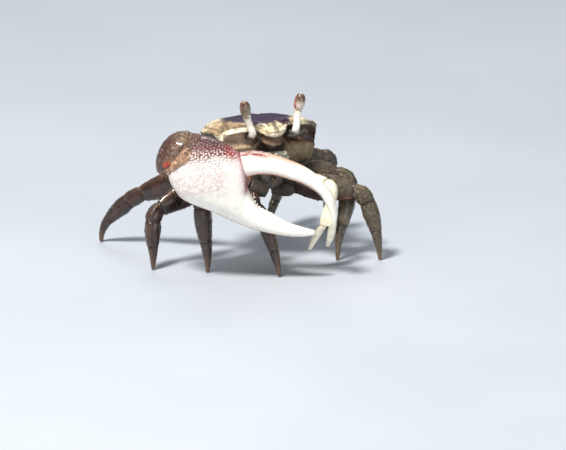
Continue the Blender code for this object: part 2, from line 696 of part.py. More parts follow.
def great_claw(materials, group):
    palm_shape = loft(claw_rings(PALM_LOWER, PALM_UPPER, PALM_THICK, 2, 16))
    palm = add_mesh("great_claw_palm", palm_shape, materials["claw"], group)
    top, low, across = knuckle_plane()
    _, toward, _ = claw_axes()
    corners = [low, low + across * KNUCKLE_ROOM, top + across * KNUCKLE_ROOM, top]
    rings = [[p + toward * KNUCKLE_ROOM * side for p in corners] for side in (1, -1)]
    cutter = add_mesh("knuckle_cutter", loft(rings), materials["claw"], group)
    cut = palm.modifiers.new("knuckle", "BOOLEAN")
    cut.operation = "DIFFERENCE"
    cut.solver = "EXACT"
    cut.object = cutter
    trimmed = bpy.data.meshes.new_from_object(palm.evaluated_get(bpy.context.evaluated_depsgraph_get()))
    palm.modifiers.remove(cut)
    palm.data = trimmed
    bpy.data.objects.remove(cutter, do_unlink=True)
    keep_largest(palm)
    fuse(palm, palm_knobs() + edge_teeth(PALM_UPPER, PALM_LOWER, PALM_TEETH))
    finger_shape = loft(claw_rings(FINGER_INNER, FINGER_OUTER, FINGER_THICK, 2, 12))
    finger = add_mesh("great_claw_finger", finger_shape, materials["claw"], group)
    fuse(finger, edge_teeth(FINGER_INNER, FINGER_OUTER, FINGER_TEETH))
    great_wrist(materials, group)
    add_mesh("great_claw_arm", loft(arm_rings(ARM_START, ARM_END, ARM_HALVES)), materials["merus"], group)


def wrist_rings():
    """Rings of the wrist and the direction across it, away from the palm."""
    along, toward, up = claw_axes()
    tilt = math.radians(WRIST_TILT)
    long_axis = along * math.cos(tilt) + up * math.sin(tilt)
    short_axis = up * math.cos(tilt) - along * math.sin(tilt)
    middle = claw_to_world(*WRIST_MIDDLE)
    rings = []
    count = 11
    for k in range(count):
        angle = math.pi * (k + 0.35) / (count - 0.3) - math.pi / 2
        size = math.cos(angle)
        rings.append(oval(middle + long_axis * WRIST_HALVES[0] * math.sin(angle),
                          short_axis * WRIST_HALVES[1] * size, toward * WRIST_HALVES[2] * size, 0.95, 16))
    return rings, short_axis


def great_wrist(materials, group):
    rings, outward = wrist_rings()
    shape = cut_flat(loft(rings), claw_to_world(*PALM_LOWER[0]) + outward * JOINT_GAP, -outward)
    start, end = claw_to_world(*ARM_START), claw_to_world(*ARM_END)
    heading = (end - start).normalized()
    shape = cut_flat(shape, end + heading * JOINT_GAP, -heading)
    add_mesh("great_claw_wrist", shape, materials["wrist"], group)


def arm_rings(start, end, halves):
    start, end = claw_to_world(*start), claw_to_world(*end)
    heading = (end - start).normalized()
    across = heading.cross(Vector((0, 0, 1))).normalized()
    upward = across.cross(heading).normalized()
    count = 7
    shares = [k / (count - 1) for k in range(count)]
    return [oval(start.lerp(end, share), across * profile(halves[0], share), upward * profile(halves[1], share),
                 0.85, 12) for share in shares]


# Small claw

def small_claw_rings():
    """Rings of the small claw's wrist, palm, fixed finger and moving finger."""
    _, toward, _ = claw_axes()
    start, end = [claw_to_world(*p) for p in SMALL_ARM]
    wrist_end, palm_end = claw_to_world(*SMALL_WRIST_END), claw_to_world(*SMALL_PALM_END)
    arm_way, palm_way = (end - start).normalized(), (palm_end - wrist_end).normalized()

    def ring(here, way, half, flatness):
        across = (toward - way * toward.dot(way)).normalized()
        return oval(here, across * half * flatness, across.cross(way).normalized() * half, 0.9, 12)
    wrist, palm = [], []
    for k in range(6):
        share = k / 5
        here = (end + arm_way * JOINT_GAP) * (1 - share) ** 2 + (end + arm_way * 1.5) * 2 * share * (1 - share) \
            + wrist_end * share ** 2
        wrist.append(ring(here, arm_way.lerp(palm_way, share).normalized(), profile(SMALL_WRIST_HALVES, share), 0.9))
        palm.append(ring((wrist_end + palm_way * JOINT_GAP).lerp(palm_end, share), palm_way,
                         profile(SMALL_PALM_HALVES, share), SMALL_PALM_FLATNESS))
    across = (toward - palm_way * toward.dot(palm_way)).normalized()
    upward = across.cross(palm_way).normalized()
    tips = [claw_to_world(*p) for p in SMALL_FINGER_TIPS]
    sides = (1, -1) if (tips[0] - palm_end).dot(upward) > 0 else (-1, 1)
    offset, bow = SMALL_FINGER_SPREAD
    fingers = []
    for side, tip in zip(sides, tips):
        root = palm_end + upward * side * offset
        bulge = (root + tip) / 2 + upward * side * bow
        rings = []
        for k in range(7):
            share = k / 6
            here = root * (1 - share) ** 2 + bulge * 2 * share * (1 - share) + tip * share ** 2
            half = profile(SMALL_FINGER_HALVES, share)
            rings.append(oval(here, across * half, upward * half, 0.9, 10))
        fingers.append(rings)
    moving, fixed = fingers
    moving[0] = [p + palm_way * JOINT_GAP for p in moving[0]]
    return wrist, palm, [[p - palm_way * 0.5 for p in fixed[0]]] + fixed, moving


def small_claw(materials, group):
    add_mesh("small_claw_arm", loft(arm_rings(*SMALL_ARM, SMALL_ARM_HALVES)), materials["merus"], group)
    wrist, palm, fixed, moving = small_claw_rings()
    add_mesh("small_claw_wrist", loft(wrist), materials["small_claw"], group)
    hand = add_mesh("small_claw_palm", loft(palm), materials["small_claw"], group)
    fuse(hand, [loft(fixed)])
    add_mesh("small_claw_finger", loft(moving), materials["small_claw"], group)


def build():
    clear_scene()
    group = make_collection("fiddler_crab")
    shell = make_material("shell", (0.42, 0.36, 0.42), 0.45)
    under = make_material("underside", (0.20, 0.15, 0.11), 0.5)
    leg_colour = make_material("leg", (0.12, 0.08, 0.06), 0.4)
    claw = make_material("great_claw", (0.88, 0.83, 0.82), 0.35)
    wrist = make_material("wrist", (0.16, 0.10, 0.09), 0.4)
    small = make_material("small_claw", (0.80, 0.70, 0.52), 0.4)
    stalk = make_material("eyestalk", (0.85, 0.83, 0.80), 0.35)
    eye = make_material("eye", (0.14, 0.10, 0.06), 0.15)
    materials = {
        "shell": shell, "under": under, "claw": claw, "wrist": wrist, "small_claw": small, "stalk": stalk,
        "eye": eye, "merus": leg_colour, "carpus": leg_colour, "propodus": leg_colour, "dactyl": leg_colour,
    }
    carapace(shell, group)
    chest(under, group)
    add_mesh("abdomen", loft(tail_rings()), under, group)
    for side, word in ((-1, "right"), (1, "left")):
        head(side, word, materials, group)
    for name, settings in LEGS.items():
        leg(name, settings, materials, group)
    great_claw(materials, group)
    small_claw(materials, group)


build()
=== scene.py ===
"""Looks of the sand fiddler crab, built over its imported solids.

Every piece is lofted from the same named sizes as the solid that it stands for, finer, with its relief,
knobs, grooves and colours worked out from where a point lies on the animal. Lengths are in millimetres
until a mesh is made. The crab faces -Y and its right side, with the great claw, is -X.
"""

import math
import random

import bmesh
import bpy
import numpy as np
from mathutils import Matrix, Vector, noise


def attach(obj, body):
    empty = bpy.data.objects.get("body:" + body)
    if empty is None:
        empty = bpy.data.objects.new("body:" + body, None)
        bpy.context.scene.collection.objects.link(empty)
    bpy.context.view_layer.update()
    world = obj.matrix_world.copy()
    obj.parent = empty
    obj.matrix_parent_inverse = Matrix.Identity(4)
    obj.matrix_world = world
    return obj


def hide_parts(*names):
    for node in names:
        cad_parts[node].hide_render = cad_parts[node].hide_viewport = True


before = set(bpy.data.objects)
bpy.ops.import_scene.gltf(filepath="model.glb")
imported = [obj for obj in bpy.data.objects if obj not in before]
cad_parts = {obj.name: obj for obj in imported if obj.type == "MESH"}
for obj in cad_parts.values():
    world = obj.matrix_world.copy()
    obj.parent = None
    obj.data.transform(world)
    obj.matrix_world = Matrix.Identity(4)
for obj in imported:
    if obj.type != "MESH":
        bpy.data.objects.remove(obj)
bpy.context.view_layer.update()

MM = 0.001
SIDES = {"right": -1, "left": 1}

# Driving sizes of the body
SHELL_HEIGHT = 24.5        # floor to the level that the shell's profiles are measured from
SHELL_MIDDLE = 6.0         # behind the line of the eyestalks
NOSE_UP = 6.0              # degrees that the body is pitched
RIGHT_UP = 2.0             # degrees that the body is rolled
FOOTPRINT_SHIFT = (1.63, -5.17)   # moves the footprint's middle to the origin
JOINT_GAP = 0.3            # clearance between neighbouring pieces

# Half of the shell's outline seen from above, from the front lobe round to the rear, and its height
SHELL_OUTLINE = [
    (0.0, -1.5), (1.5, -1.2), (2.7, -0.2), (3.5, 0.6), (5.0, 0.45), (7.0, 0.6), (8.8, 1.15),
    (9.85, 1.75), (9.95, 3.4), (9.85, 5.8), (9.4, 8.4), (8.2, 10.9), (5.6, 12.6), (2.6, 13.0), (0.0, 13.0),
]
SHELL_EDGE = [-1.7, -1.5, -0.9, -0.45, -0.4, -0.5, -0.9, -1.8, -1.5, -1.6, -1.9, -2.2, -2.6, -2.8, -2.8]
SHELL_CROWN = 0.35         # height of the middle of the back
SHELL_ARCH = (0.006, 0.012)     # how fast the back falls off to the sides and to the rear
SHELL_SHARES = (0.25, 0.5, 0.7, 0.86, 0.95)     # where the back is drawn between its middle and its edge
SHELL_FULLNESS = 7         # how far out the back stays level before it rolls over to the edge
SHELL_SWELLING = (-7.4, 7.2, 2.4, 3.6, 0.2)    # middle, half lengths and height of the swelling on the claw's side
FRONT_ZONE = (2.2, 3.0)    # places along the outline where the front lobe gives way to the eye socket
SIDE_ZONE = (6.2, 7.2)     # and the eye socket to the side wall

# Walls below the shell's edge: drop and inset under the front lobe, the eye socket and the side
SHELL_WALLS = [
    ((0.7, 0.1), (0.5, 0.1), (0.5, 0.1)),
    ((1.0, 0.9), (0.9, 1.1), (1.0, 0.45)),
    ((1.5, 1.1), (2.4, 1.5), (2.0, 0.75)),
    ((1.9, 1.0), (3.2, 1.0), (2.7, 0.65)),
    ((2.3, 0.6), (3.7, 0.2), (3.2, 0.5)),
    ((2.8, 1.1), (4.4, 0.45), (4.1, 0.75)),
    ((3.3, 2.3), (5.2, 0.7), (5.0, 1.0)),
    ((5.2, 2.4), (6.2, 1.1), (5.9, 1.45)),
]
SHELL_FLOOR = (-8.2, 2.4)  # height and inset of the shell's lower rim

# A door of the mouth from the top down: height, front and half width
MOUTH_DOOR = [(-5.25, -0.35, 1.15), (-6.2, -0.45, 1.42), (-8.2, -0.45, 1.45), (-9.9, -0.2, 1.15), (-11.2, 0.4, 0.7)]

MOUTH_DOOR_SET = (0.17, 0.45, 0.4)     # half the seam, how far back a door's middle is, and its half thickness

# Chest below the shell: height, half width, half length
CHEST = [(-8.5, 6.3, 4.7), (-9.8, 6.2, 4.6), (-10.9, 5.7, 4.2), (-11.8, 4.7, 3.7), (-12.3, 3.4, 3.0)]
CHEST_MIDDLE = 6.1

# Roots of the limbs, sunk in the chest: half width and half height of a leg's and of a claw's
LEG_ROOT = (1.15, 1.5)
CLAW_ROOT = (1.25, 1.3)
ROOT_LENGTH = 3.6

# Tail flap folded forward under the chest: its path, half widths and half thickness
TAIL_PATH = [(0.0, 12.1, -9.4), (0.0, 11.6, -10.9), (0.0, 10.0, -12.3), (0.0, 7.6, -13.05), (0.0, 4.4, -13.05)]
TAIL_WIDTHS = [2.6, 2.4, 2.0, 1.5, 0.7]
TAIL_THICK = 0.35

# Walking legs, front to rear: hip, length to the knee, length beyond it, then angles in degrees.
# yaw is how far forward the leg points, rise how it climbs to the knee, fold how it comes down,
# lean how far the lower leg slants forward, toe the slope of the last piece and girth its stoutness.
HIPS = [(5.0, 1.2, 12.4), (7.0, 4.0, 13.7), (7.5, 6.8, 13.9), (7.0, 9.6, 13.7)]
LEGS = {
    "leg_right_1": (-1, 0, 5.6, 12.7, 85, -10, -72, 12, -85, 1.0),
    "leg_right_2": (-1, 1, 5.7, 15.3, 28, 2, -95, 4, -85, 1.2),
    "leg_right_3": (-1, 2, 11.7, 11.2, 1, -17, -88, 4, -86, 1.0),
    "leg_right_4": (-1, 3, 13.6, 13.1, -53, -18, -45, 0, -90, 1.0),
    "leg_left_1": (1, 0, 10.6, 13.8, 38, -2, -75, 1, -85, 1.0),
    "leg_left_2": (1, 1, 7.2, 16.5, 31, 0, -103, 25, -89, 1.0),
    "leg_left_3": (1, 2, 8.2, 16.6, -18, 3, -81, -12, -83, 1.0),
    "leg_left_4": (1, 3, 8.4, 16.6, -49, 2, -120, -14, -98, 1.0),
}
LEG_SHARES = (0.24, 0.4, 0.36)    # carpus, propodus and dactyl as shares of the lower leg
LEG_STEPS = 5                      # parts that each piece bends in
LEG_HEIGHTS = {                    # depth of each piece along its length
    "merus": (2.1, 3.5, 4.6, 4.7, 3.9, 2.9),
    "carpus": (2.6, 2.9, 3.05, 2.85),
    "propodus": (2.8, 3.0, 2.6, 2.1),
    "dactyl": (1.9, 1.5, 1.05, 0.6),
}
LEG_FLATNESS = {"merus": 0.56, "carpus": 0.76, "propodus": 0.76, "dactyl": 0.85}
LEG_BENDS = (7, -7, 6, -3)         # how much the pieces curve, as degrees added along the leg
TOE_RADIUS = 0.32
LEG_PLAY, LEG_HALVINGS = 15.0, 30  # degrees that a leg may be raised or lowered to stand, and halvings of them

# The great claw lies in an upright plane turned CLAW_TURN from the crab's cross axis. Places in it
# are (along, height), with along running to the crab's left, and CLAW_REACH is how far it is in front.
CLAW_TURN = 30.0
CLAW_REACH = 11.8
PALM_LOWER = [
    (-18.1, 19.1), (-17.6, 17.3), (-16.2, 15.1), (-14.2, 13.8), (-11.0, 12.5), (-8.4, 11.3), (-6.4, 10.4),
    (-4.8, 9.7), (-2.9, 9.0), (-0.6, 8.4), (2.0, 7.9), (5.0, 7.7), (7.2, 8.0),
]
PALM_UPPER = [
    (-12.8, 25.9), (-11.2, 25.6), (-9.6, 25.1), (-7.7, 24.3), (-6.3, 23.2), (-5.0, 21.2), (-4.5, 18.8),
    (-4.3, 16.7), (-3.0, 14.5), (-0.6, 12.4), (2.2, 10.5), (5.0, 9.45), (7.35, 8.8),
]
PALM_THICK = [2.6, 3.0, 3.3, 3.4, 3.3, 3.0, 2.6, 2.2, 1.9, 1.6, 1.25, 0.85, 0.35]
FINGER_OUTER = [
    (-5.5, 22.8), (-3.2, 23.1), (-0.9, 22.7), (1.9, 21.8), (5.0, 20.55), (7.3, 19.1), (9.2, 17.1),
    (10.6, 15.0), (11.1, 13.3), (11.25, 11.9), (11.2, 10.7), (10.95, 9.7),
]
FINGER_INNER = [
    (-4.25, 18.5), (-3.0, 18.9), (-1.45, 19.0), (0.65, 18.8), (2.9, 18.1), (5.0, 17.4), (6.85, 16.4),
    (8.3, 15.2), (9.15, 13.8), (9.8, 12.5), (10.25, 11.3), (10.55, 9.9),
]
FINGER_THICK = [1.9, 2.0, 2.0, 1.9, 1.75, 1.6, 1.45, 1.3, 1.1, 0.9, 0.65, 0.25]
PALM = (PALM_LOWER, PALM_UPPER, PALM_THICK)
FINGER = (FINGER_INNER, FINGER_OUTER, FINGER_THICK)
KNUCKLE_LINE = ((-5.9, 24.6), (-4.35, 17.3))    # where the palm is cut for the moving finger
CLAW_SQUARENESS = 0.85      # 1 would make the claw's sections ellipses
CLAW_RINGS, CLAW_POINTS = 10, 96    # rings between the listed places of the great claw, and points in each
KNUCKLE_ROOM = 5.0          # depth and half width of the room that the cut makes
PALM_TEETH = (8.0, 11.4, 7)     # first and last place along the palm's lists, and how many
FINGER_TEETH = (1.9, 9.2, 10)    # the same for the moving finger
TOOTH_RADIUS = 0.42
WRIST_MIDDLE = (-16.6, 22.1, 10.0)              # along, height and reach of the wrist
WRIST_HALVES = (4.6, 2.9, 3.6)
WRIST_TILT = 53.6
ARM_START = (-4.4, 15.2, 4.3)
ARM_END = (-15.2, 21.4, 7.2)
ARM_HALVES = ((1.19, 1.36, 1.53, 1.62, 1.53), (1.36, 1.87, 2.21, 2.3, 1.87))    # half widths and half heights

# The small claw hangs on the crab's left: along, height, reach
SMALL_ARM = ((4.6, 15.0, -0.7), (9.3, 14.6, 2.9))
SMALL_ARM_HALVES = ((1.02, 1.1, 1.19, 1.02), (1.1, 1.45, 1.45, 1.19))
SMALL_WRIST_END = (10.15, 11.6, 3.6)
SMALL_WRIST_HALVES = (1.05, 1.3, 1.25, 0.95)
SMALL_PALM_END = (9.7, 7.6, 4.0)
SMALL_FINGER_TIPS = ((6.5, 3.4, 4.6), (9.6, 3.6, 3.4))
SMALL_PALM_HALVES = (0.85, 1.2, 1.42, 1.4)      # half width of the small palm along its length
SMALL_PALM_FLATNESS = 0.6
SMALL_FINGER_HALVES = (0.66, 0.7, 0.58, 0.34)
SMALL_FINGER_SPREAD = (0.74, 0.3)       # how far a finger's root is off the middle, and how much it bows

# Eyestalks: foot in the socket, bend, and the tips of the two sides
STALK_FOOT = (3.95, 1.3, -2.4)
STALK_BEND = (4.35, 0.1, -2.2)
STALK_ELBOW = (0.0, -0.75, 0.75)    # from the bend to where the stalk turns up
STALK_RADII = [0.6, 0.62, 0.66, 0.58, 0.7]
STALK_TIPS = {"right": (-6.3, -1.0, 30.0), "left": (5.3, -1.0, 29.9)}
EYE_LENGTH = 2.9
EYE_RADIUS = 0.98
EYE_PROFILE = ((0.0, 0.72), (0.15, 0.93), (0.4, 1.0), (0.65, 0.95), (0.85, 0.72), (0.96, 0.4))

# Antennae, from the inner corner of each eye socket
ANTENNA_FOOT = (3.05, -0.6, -2.7)
ANTENNA_PATH = ((0.0, 0.0, 0.0), (0.3, -0.9, 0.1), (0.9, -1.7, 0.6), (1.9, -2.2, 1.5))
ANTENNA_RADII = (0.42, 0.36, 0.25, 0.12)


# Curves, frames and rings

def spline(a, b, c, d, f):
    """A point between b and c, on a smooth curve that comes from a and goes on to d."""
    return 0.5 * (2 * b + (c - a) * f + (2 * a - 5 * b + 4 * c - d) * f * f + (3 * b - a - 3 * c + d) * f ** 3)


def catmull(values, place):
    """A smooth value through the listed ones, at a place counted in list steps."""
    last = len(values) - 1
    n = min(max(int(math.floor(place)), 0), last - 1)
    return spline(*(Vector(values[min(max(n + k, 0), last)]) for k in (-1, 0, 1, 2)), place - n)


def number_at(values, place):
    return catmull([(v, 0.0) for v in values], place)[0]


def profile(values, share):
    """A smooth single number along a list, at a share from 0 to 1."""
    return number_at(values, share * (len(values) - 1))


def arc(start, pull, end, share):
    """A point on the curve from start to end that is drawn towards a third point."""
    return start * (1 - share) ** 2 + pull * 2 * share * (1 - share) + end * share ** 2


def ramp(value, low, high):
    t = min(max((value - low) / (high - low), 0.0), 1.0)
    return t * t * (3 - 2 * t)


def oval(middle, across, upward, power=0.85, count=12):
    """A ring of points round a middle, a little squarer than an ellipse."""
    ring = []
    for k in range(count):
        angle = 2 * math.pi * k / count
        c, s = math.cos(angle), math.sin(angle)
        ring.append(middle + across * math.copysign(abs(c) ** power, c)
                    + upward * math.copysign(abs(s) ** power, s))
    return ring


def middle_of(ring):
    return sum((Vector(p) for p in ring), Vector()) / len(ring)


def scaled_rings(first, way, steps):
    """Copies of a ring, one for each step: its size about its middle, and how far it is moved along a way."""
    middle = middle_of(first)
    return [[middle + (p - middle) * size + way * step for p in first] for size, step in steps]


def square_axes(way, guide=(0, 0, 1)):
    """Two directions square to a way, the first of them square to a guide too."""
    across = way.cross(Vector(guide)).normalized()
    return across, across.cross(way).normalized()


def hinge_axes(way, hinge):
    """Two directions square to a way, the first of them as near as it can be to a hinge's."""
    across = (hinge - way * hinge.dot(way)).normalized()
    return across, across.cross(way).normalized()


BODY_TURN = Matrix.Rotation(math.radians(-NOSE_UP), 4, "X") @ Matrix.Rotation(math.radians(RIGHT_UP), 4, "Y")
BODY_TURN_BACK = BODY_TURN.inverted()
BODY_MIDDLE = Vector((0.0, SHELL_MIDDLE, SHELL_HEIGHT))


def body_to_world(point):
    """From the shell's own level frame to the pitched and rolled body."""
    x, y, z = point
    return BODY_TURN @ Vector((x, y - SHELL_MIDDLE, z)) + BODY_MIDDLE


def body_way(direction):
    return body_to_world(direction) - body_to_world((0, 0, 0))


def body_ring(ring):
    return [body_to_world(p) for p in ring]


def world_to_body(point):
    local = BODY_TURN_BACK @ (Vector(point) - BODY_MIDDLE)
    return local.x, local.y + SHELL_MIDDLE, local.z


CLAW_COS, CLAW_SIN = math.cos(math.radians(CLAW_TURN)), math.sin(math.radians(CLAW_TURN))


def claw_to_world(along, height, reach=CLAW_REACH):
    return Vector((along * CLAW_COS - reach * CLAW_SIN, -along * CLAW_SIN - reach * CLAW_COS, height))


def world_to_claw(point):
    """Along, height and reach of a point in the great claw's plane."""
    x, y, z = point
    return x * CLAW_COS - y * CLAW_SIN, z, -x * CLAW_SIN - y * CLAW_COS


def claw_axes():
    return claw_to_world(1, 0, 0), claw_to_world(0, 0, 1), Vector((0, 0, 1))


def outline_places():
    """The side and the place along the outline of each point of a turn round the shell."""
    steps = 2 * (len(SHELL_OUTLINE) - 1)
    return [(side, (k if side == 1 else steps - k) / 2) for side in (1, -1) for k in range(steps)]


def outline_ring(inset, heights):
    """One turn round the shell's outline, set in along its own normal."""
    end = float(len(SHELL_OUTLINE) - 1)
    ring = []
    for side, place in outline_places():
        ahead, before = catmull(SHELL_OUTLINE, min(place + 0.2, end)), catmull(SHELL_OUTLINE, max(place - 0.2, 0.0))
        along = (ahead - before).normalized()
        if place in (0.0, end):
            along = Vector((1.0, 0.0)) if place == 0.0 else Vector((-1.0, 0.0))
        spot = catmull(SHELL_OUTLINE, place) + Vector((-along.y, along.x)) * inset(place)
        ring.append(body_to_world((side * spot.x, spot.y, heights(place))))
    return ring


def zone_mix(place, triple):
    front = 1.0 - ramp(place, *FRONT_ZONE)
    side = ramp(place, *SIDE_ZONE)
    return triple[0] * front + triple[1] * (1.0 - front - side) + triple[2] * side


def edge_height(place):
    return number_at(SHELL_EDGE, place)


def shell_height(x, y, place, share):
    """Height of the back at a share of the way from its middle to a place on its edge."""
    rise = 1.0 - share ** SHELL_FULLNESS
    crown = SHELL_CROWN - SHELL_ARCH[0] * x * x - SHELL_ARCH[1] * max(y - SHELL_MIDDLE, 0.0) ** 2
    middle_x, middle_y, half_x, half_y, height = SHELL_SWELLING
    crown += height * math.exp(-((x - middle_x) / half_x) ** 2 - ((y - middle_y) / half_y) ** 2)
    return edge_height(place) * (1 - rise) + crown * rise


def back_rings(shares):
    """Rings over the back, at shares of the way from its middle to its edge."""
    rings = []
    for share in shares:
        ring = []
        for side, place in outline_places():
            here = catmull(SHELL_OUTLINE, place)
            x, y = side * here.x * share, SHELL_MIDDLE + (here.y - SHELL_MIDDLE) * share
            ring.append((x, y, shell_height(x, y, place, share)))
        rings.append(body_ring(ring))
    return rings


def wall_rings():
    """Rings from the shell's edge down to its lower rim."""
    rings = [outline_ring(lambda place: 0.0, edge_height)]
    for row in SHELL_WALLS:
        drops, insets = [cell[0] for cell in row], [cell[1] for cell in row]
        rings.append(outline_ring(lambda place, i=insets: zone_mix(place, i),
                                  lambda place, d=drops: edge_height(place) - zone_mix(place, d)))
    rings.append(outline_ring(lambda place: SHELL_FLOOR[1], lambda place: SHELL_FLOOR[0]))
    return rings


def chest_rings():
    return [body_ring(oval(Vector((0.0, CHEST_MIDDLE, height)), Vector((half_width, 0, 0)),
                           Vector((0, half_length, 0)), 0.8, 28)) for height, half_width, half_length in CHEST]


def root_rings(end, heading, halves):
    """The root of a limb, sunk in the chest and ending a joint's gap short of the limb."""
    across, upward = square_axes(heading)
    rings = []
    for share, size in ((0.0, 0.7), (0.5, 1.0), (0.85, 1.0), (1.0, 0.88)):
        middle = end - heading * (JOINT_GAP + ROOT_LENGTH * (1 - share))
        rings.append(oval(middle, across * halves[0] * size, upward * halves[1] * size, 0.9, 10))
    return rings


def hip_point(side, hip):
    x, y, z = HIPS[hip]
    return Vector((side * x, y, z))


def leg_root(settings):
    side, hip, _, _, yaw, rise, *_ = settings
    return root_rings(hip_point(side, hip), leg_headings(side, yaw, rise, 0, 0, 0)[0], LEG_ROOT)


def claw_root(start, end):
    a, b = claw_to_world(*start), claw_to_world(*end)
    return root_rings(a, (b - a).normalized(), CLAW_ROOT)


def tail_rings(count=9):
    """The male's narrow tail flap."""
    rings = []
    last = len(TAIL_PATH) - 1
    for share in (k / (count - 1) for k in range(count)):
        ahead = catmull(TAIL_PATH, min(share + 0.05, 1.0) * last)
        before = catmull(TAIL_PATH, max(share - 0.05, 0.0) * last)
        normal = (ahead - before).normalized().cross(Vector((1, 0, 0)))
        rings.append(body_ring(oval(catmull(TAIL_PATH, share * last), Vector((profile(TAIL_WIDTHS, share), 0, 0)),
                                    normal * TAIL_THICK, 0.8, 12)))
    return rings


def door_rings(side):
    """A door of the mouth: a lozenge plate in front of the mouth frame."""
    seam, back, thick = MOUTH_DOOR_SET
    return [body_ring(oval(Vector((side * (half + seam), front + back, height)), Vector((half, 0, 0)),
                           Vector((0, thick, 0)), 0.75, 12)) for height, front, half in MOUTH_DOOR]


def tube_rings(path, radii, count, step, points, last_way=None):
    """Round rings along a smooth path."""
    last = len(path) - 1
    rings = []
    for k in range(count):
        share = k / (count - 1)
        along = (catmull(path, min(share + step, 1) * last) - catmull(path, max(share - step, 0) * last)).normalized()
        if last_way and k == count - 1:
            along = last_way
        across, upward = square_axes(along, (0, 0.6, 0.8))
        size = profile(radii, share)
        rings.append(oval(catmull(path, share * last), across * size, upward * size, 1.0, points))
    return rings


def eye_rings(word):
    """Rings of a side's eyestalk and of the eye on its end."""
    foot, bend = [body_to_world((SIDES[word] * x, y, z)) for x, y, z in (STALK_FOOT, STALK_BEND)]
    tip = Vector(STALK_TIPS[word])
    rise = (tip - bend).normalized()
    elbow = bend + Vector(STALK_ELBOW)
    neck = tip - rise * (EYE_LENGTH + JOINT_GAP)
    stalk = tube_rings([foot, bend, elbow, elbow.lerp(neck, 0.5), neck], STALK_RADII, 11, 0.03, 12, rise)
    across, upward = square_axes(rise, (0, 1, 0))
    return stalk, [oval(tip - rise * EYE_LENGTH * (1 - share), across * EYE_RADIUS * size,
                        upward * EYE_RADIUS * size, 1.0, 12) for share, size in EYE_PROFILE]


def antenna_rings(side):
    x, y, z = ANTENNA_FOOT
    foot = body_to_world((side * x, y, z))
    return tube_rings([foot + Vector((side * x, y, z)) for x, y, z in ANTENNA_PATH], ANTENNA_RADII, 8, 0.05, 8)


def leg_headings(side, yaw, rise, fold, lean, toe):
    """Directions at the hip, the knee, the end of the carpus, the end of the propodus and the toe."""
    turn = math.radians(yaw)
    out = Vector((side * math.cos(turn), -math.sin(turn), 0.0))
    forward = Vector((-side * math.sin(turn), -math.cos(turn), 0.0))

    def heading(pitch, tilt):
        p, t = math.radians(pitch), math.radians(tilt)
        return (out * math.cos(p) + Vector((0, 0, math.sin(p)))) * math.cos(t) + forward * math.sin(t)
    hip, knee, shin, ankle = LEG_BENDS
    return [heading(rise + hip, 0), heading(rise + knee, 0), heading(fold + shin, lean), heading(fold + ankle, lean),
            heading(toe, lean * 0.6)]


def walk_leg(side, hip, merus, shin, headings, steps):
    """Stations along the whole leg: for each piece its points and directions."""
    at = hip_point(side, hip)
    pieces = []
    for n, length in enumerate([merus] + [shin * share for share in LEG_SHARES]):
        start, end = headings[n], headings[n + 1]
        stations = [(at.copy(), start.normalized())]
        for k in range(steps):
            at = at + start.lerp(end, (k + 0.5) / steps).normalized() * (length / steps)
            stations.append((at.copy(), start.lerp(end, (k + 1) / steps).normalized()))
        pieces.append(stations)
    return pieces


def grounded_leg(settings, steps):
    """The leg with its merus raised or lowered until the toe meets the floor."""
    side, hip, merus, shin, yaw, rise, fold, lean, toe, _ = settings
    low, high = rise - LEG_PLAY, rise + LEG_PLAY
    for _ in range(LEG_HALVINGS):
        middle = (low + high) / 2
        pieces = walk_leg(side, hip, merus, shin, leg_headings(side, yaw, middle, fold, lean, toe), steps)
        if pieces[-1][-1][0].z > 0.0:
            high = middle
        else:
            low = middle
    return pieces, leg_headings(side, yaw, 0, 0, 90, 0)[2]


def leg_rings(settings):
    """Rings of a leg's four pieces, by kind."""
    pieces, hinge = grounded_leg(settings, LEG_STEPS)
    found = {}
    for piece, (kind, heights) in zip(pieces, LEG_HEIGHTS.items()):
        rings = []
        total = sum((b[0] - a[0]).length for a, b in zip(piece, piece[1:]))
        trim = JOINT_GAP / 2 / total
        for k in range(LEG_STEPS + 1):
            share = k / LEG_STEPS
            placed = min(max(share, trim), 1 - trim) * LEG_STEPS
            n = min(int(placed), LEG_STEPS - 1)
            here = piece[n][0].lerp(piece[n + 1][0], placed - n)
            across, upward = hinge_axes(piece[k][1], hinge)
            half = profile(heights, share) / 2 * settings[-1]
            ring = oval(here, across * half * LEG_FLATNESS[kind], upward * half, 0.9, 10)
            if kind == "dactyl" and k == LEG_STEPS:
                ring = [Vector((p.x, p.y, 0.0)) for p in
                        oval(here, Vector((TOE_RADIUS, 0, 0)), Vector((0, TOE_RADIUS, 0)), 1.0, 10)]
                ring = align_ring(ring, rings[-1])
            rings.append(ring)
        found[kind] = rings
    return found


def align_ring(ring, other):
    """Turns and flips a ring so that its points follow those of its neighbour."""
    count = len(ring)
    best, choice = None, ring
    for order in (ring, ring[::-1]):
        for k in range(count):
            turned = order[k:] + order[:k]
            cost = sum((a - b).length for a, b in zip(turned, other))
            if best is None or cost < best:
                best, choice = cost, turned
    return choice


def claw_section(lower, upper, thick, place):
    """The middle of the claw's section at a place, its half height and its half thickness."""
    low, high = claw_to_world(*catmull(lower, place)), claw_to_world(*catmull(upper, place))
    return (low + high) / 2, (high - low) / 2, number_at(thick, place)


def claw_rings(lower, upper, thick):
    """Fine rings of the great palm or finger."""
    _, toward, _ = claw_axes()
    rings = []
    for k in range(CLAW_RINGS * (len(lower) - 1) + 1):
        middle, upward, half = claw_section(lower, upper, thick, k / CLAW_RINGS)
        rings.append(oval(middle, toward * half, upward, CLAW_SQUARENESS, CLAW_POINTS))
    return rings


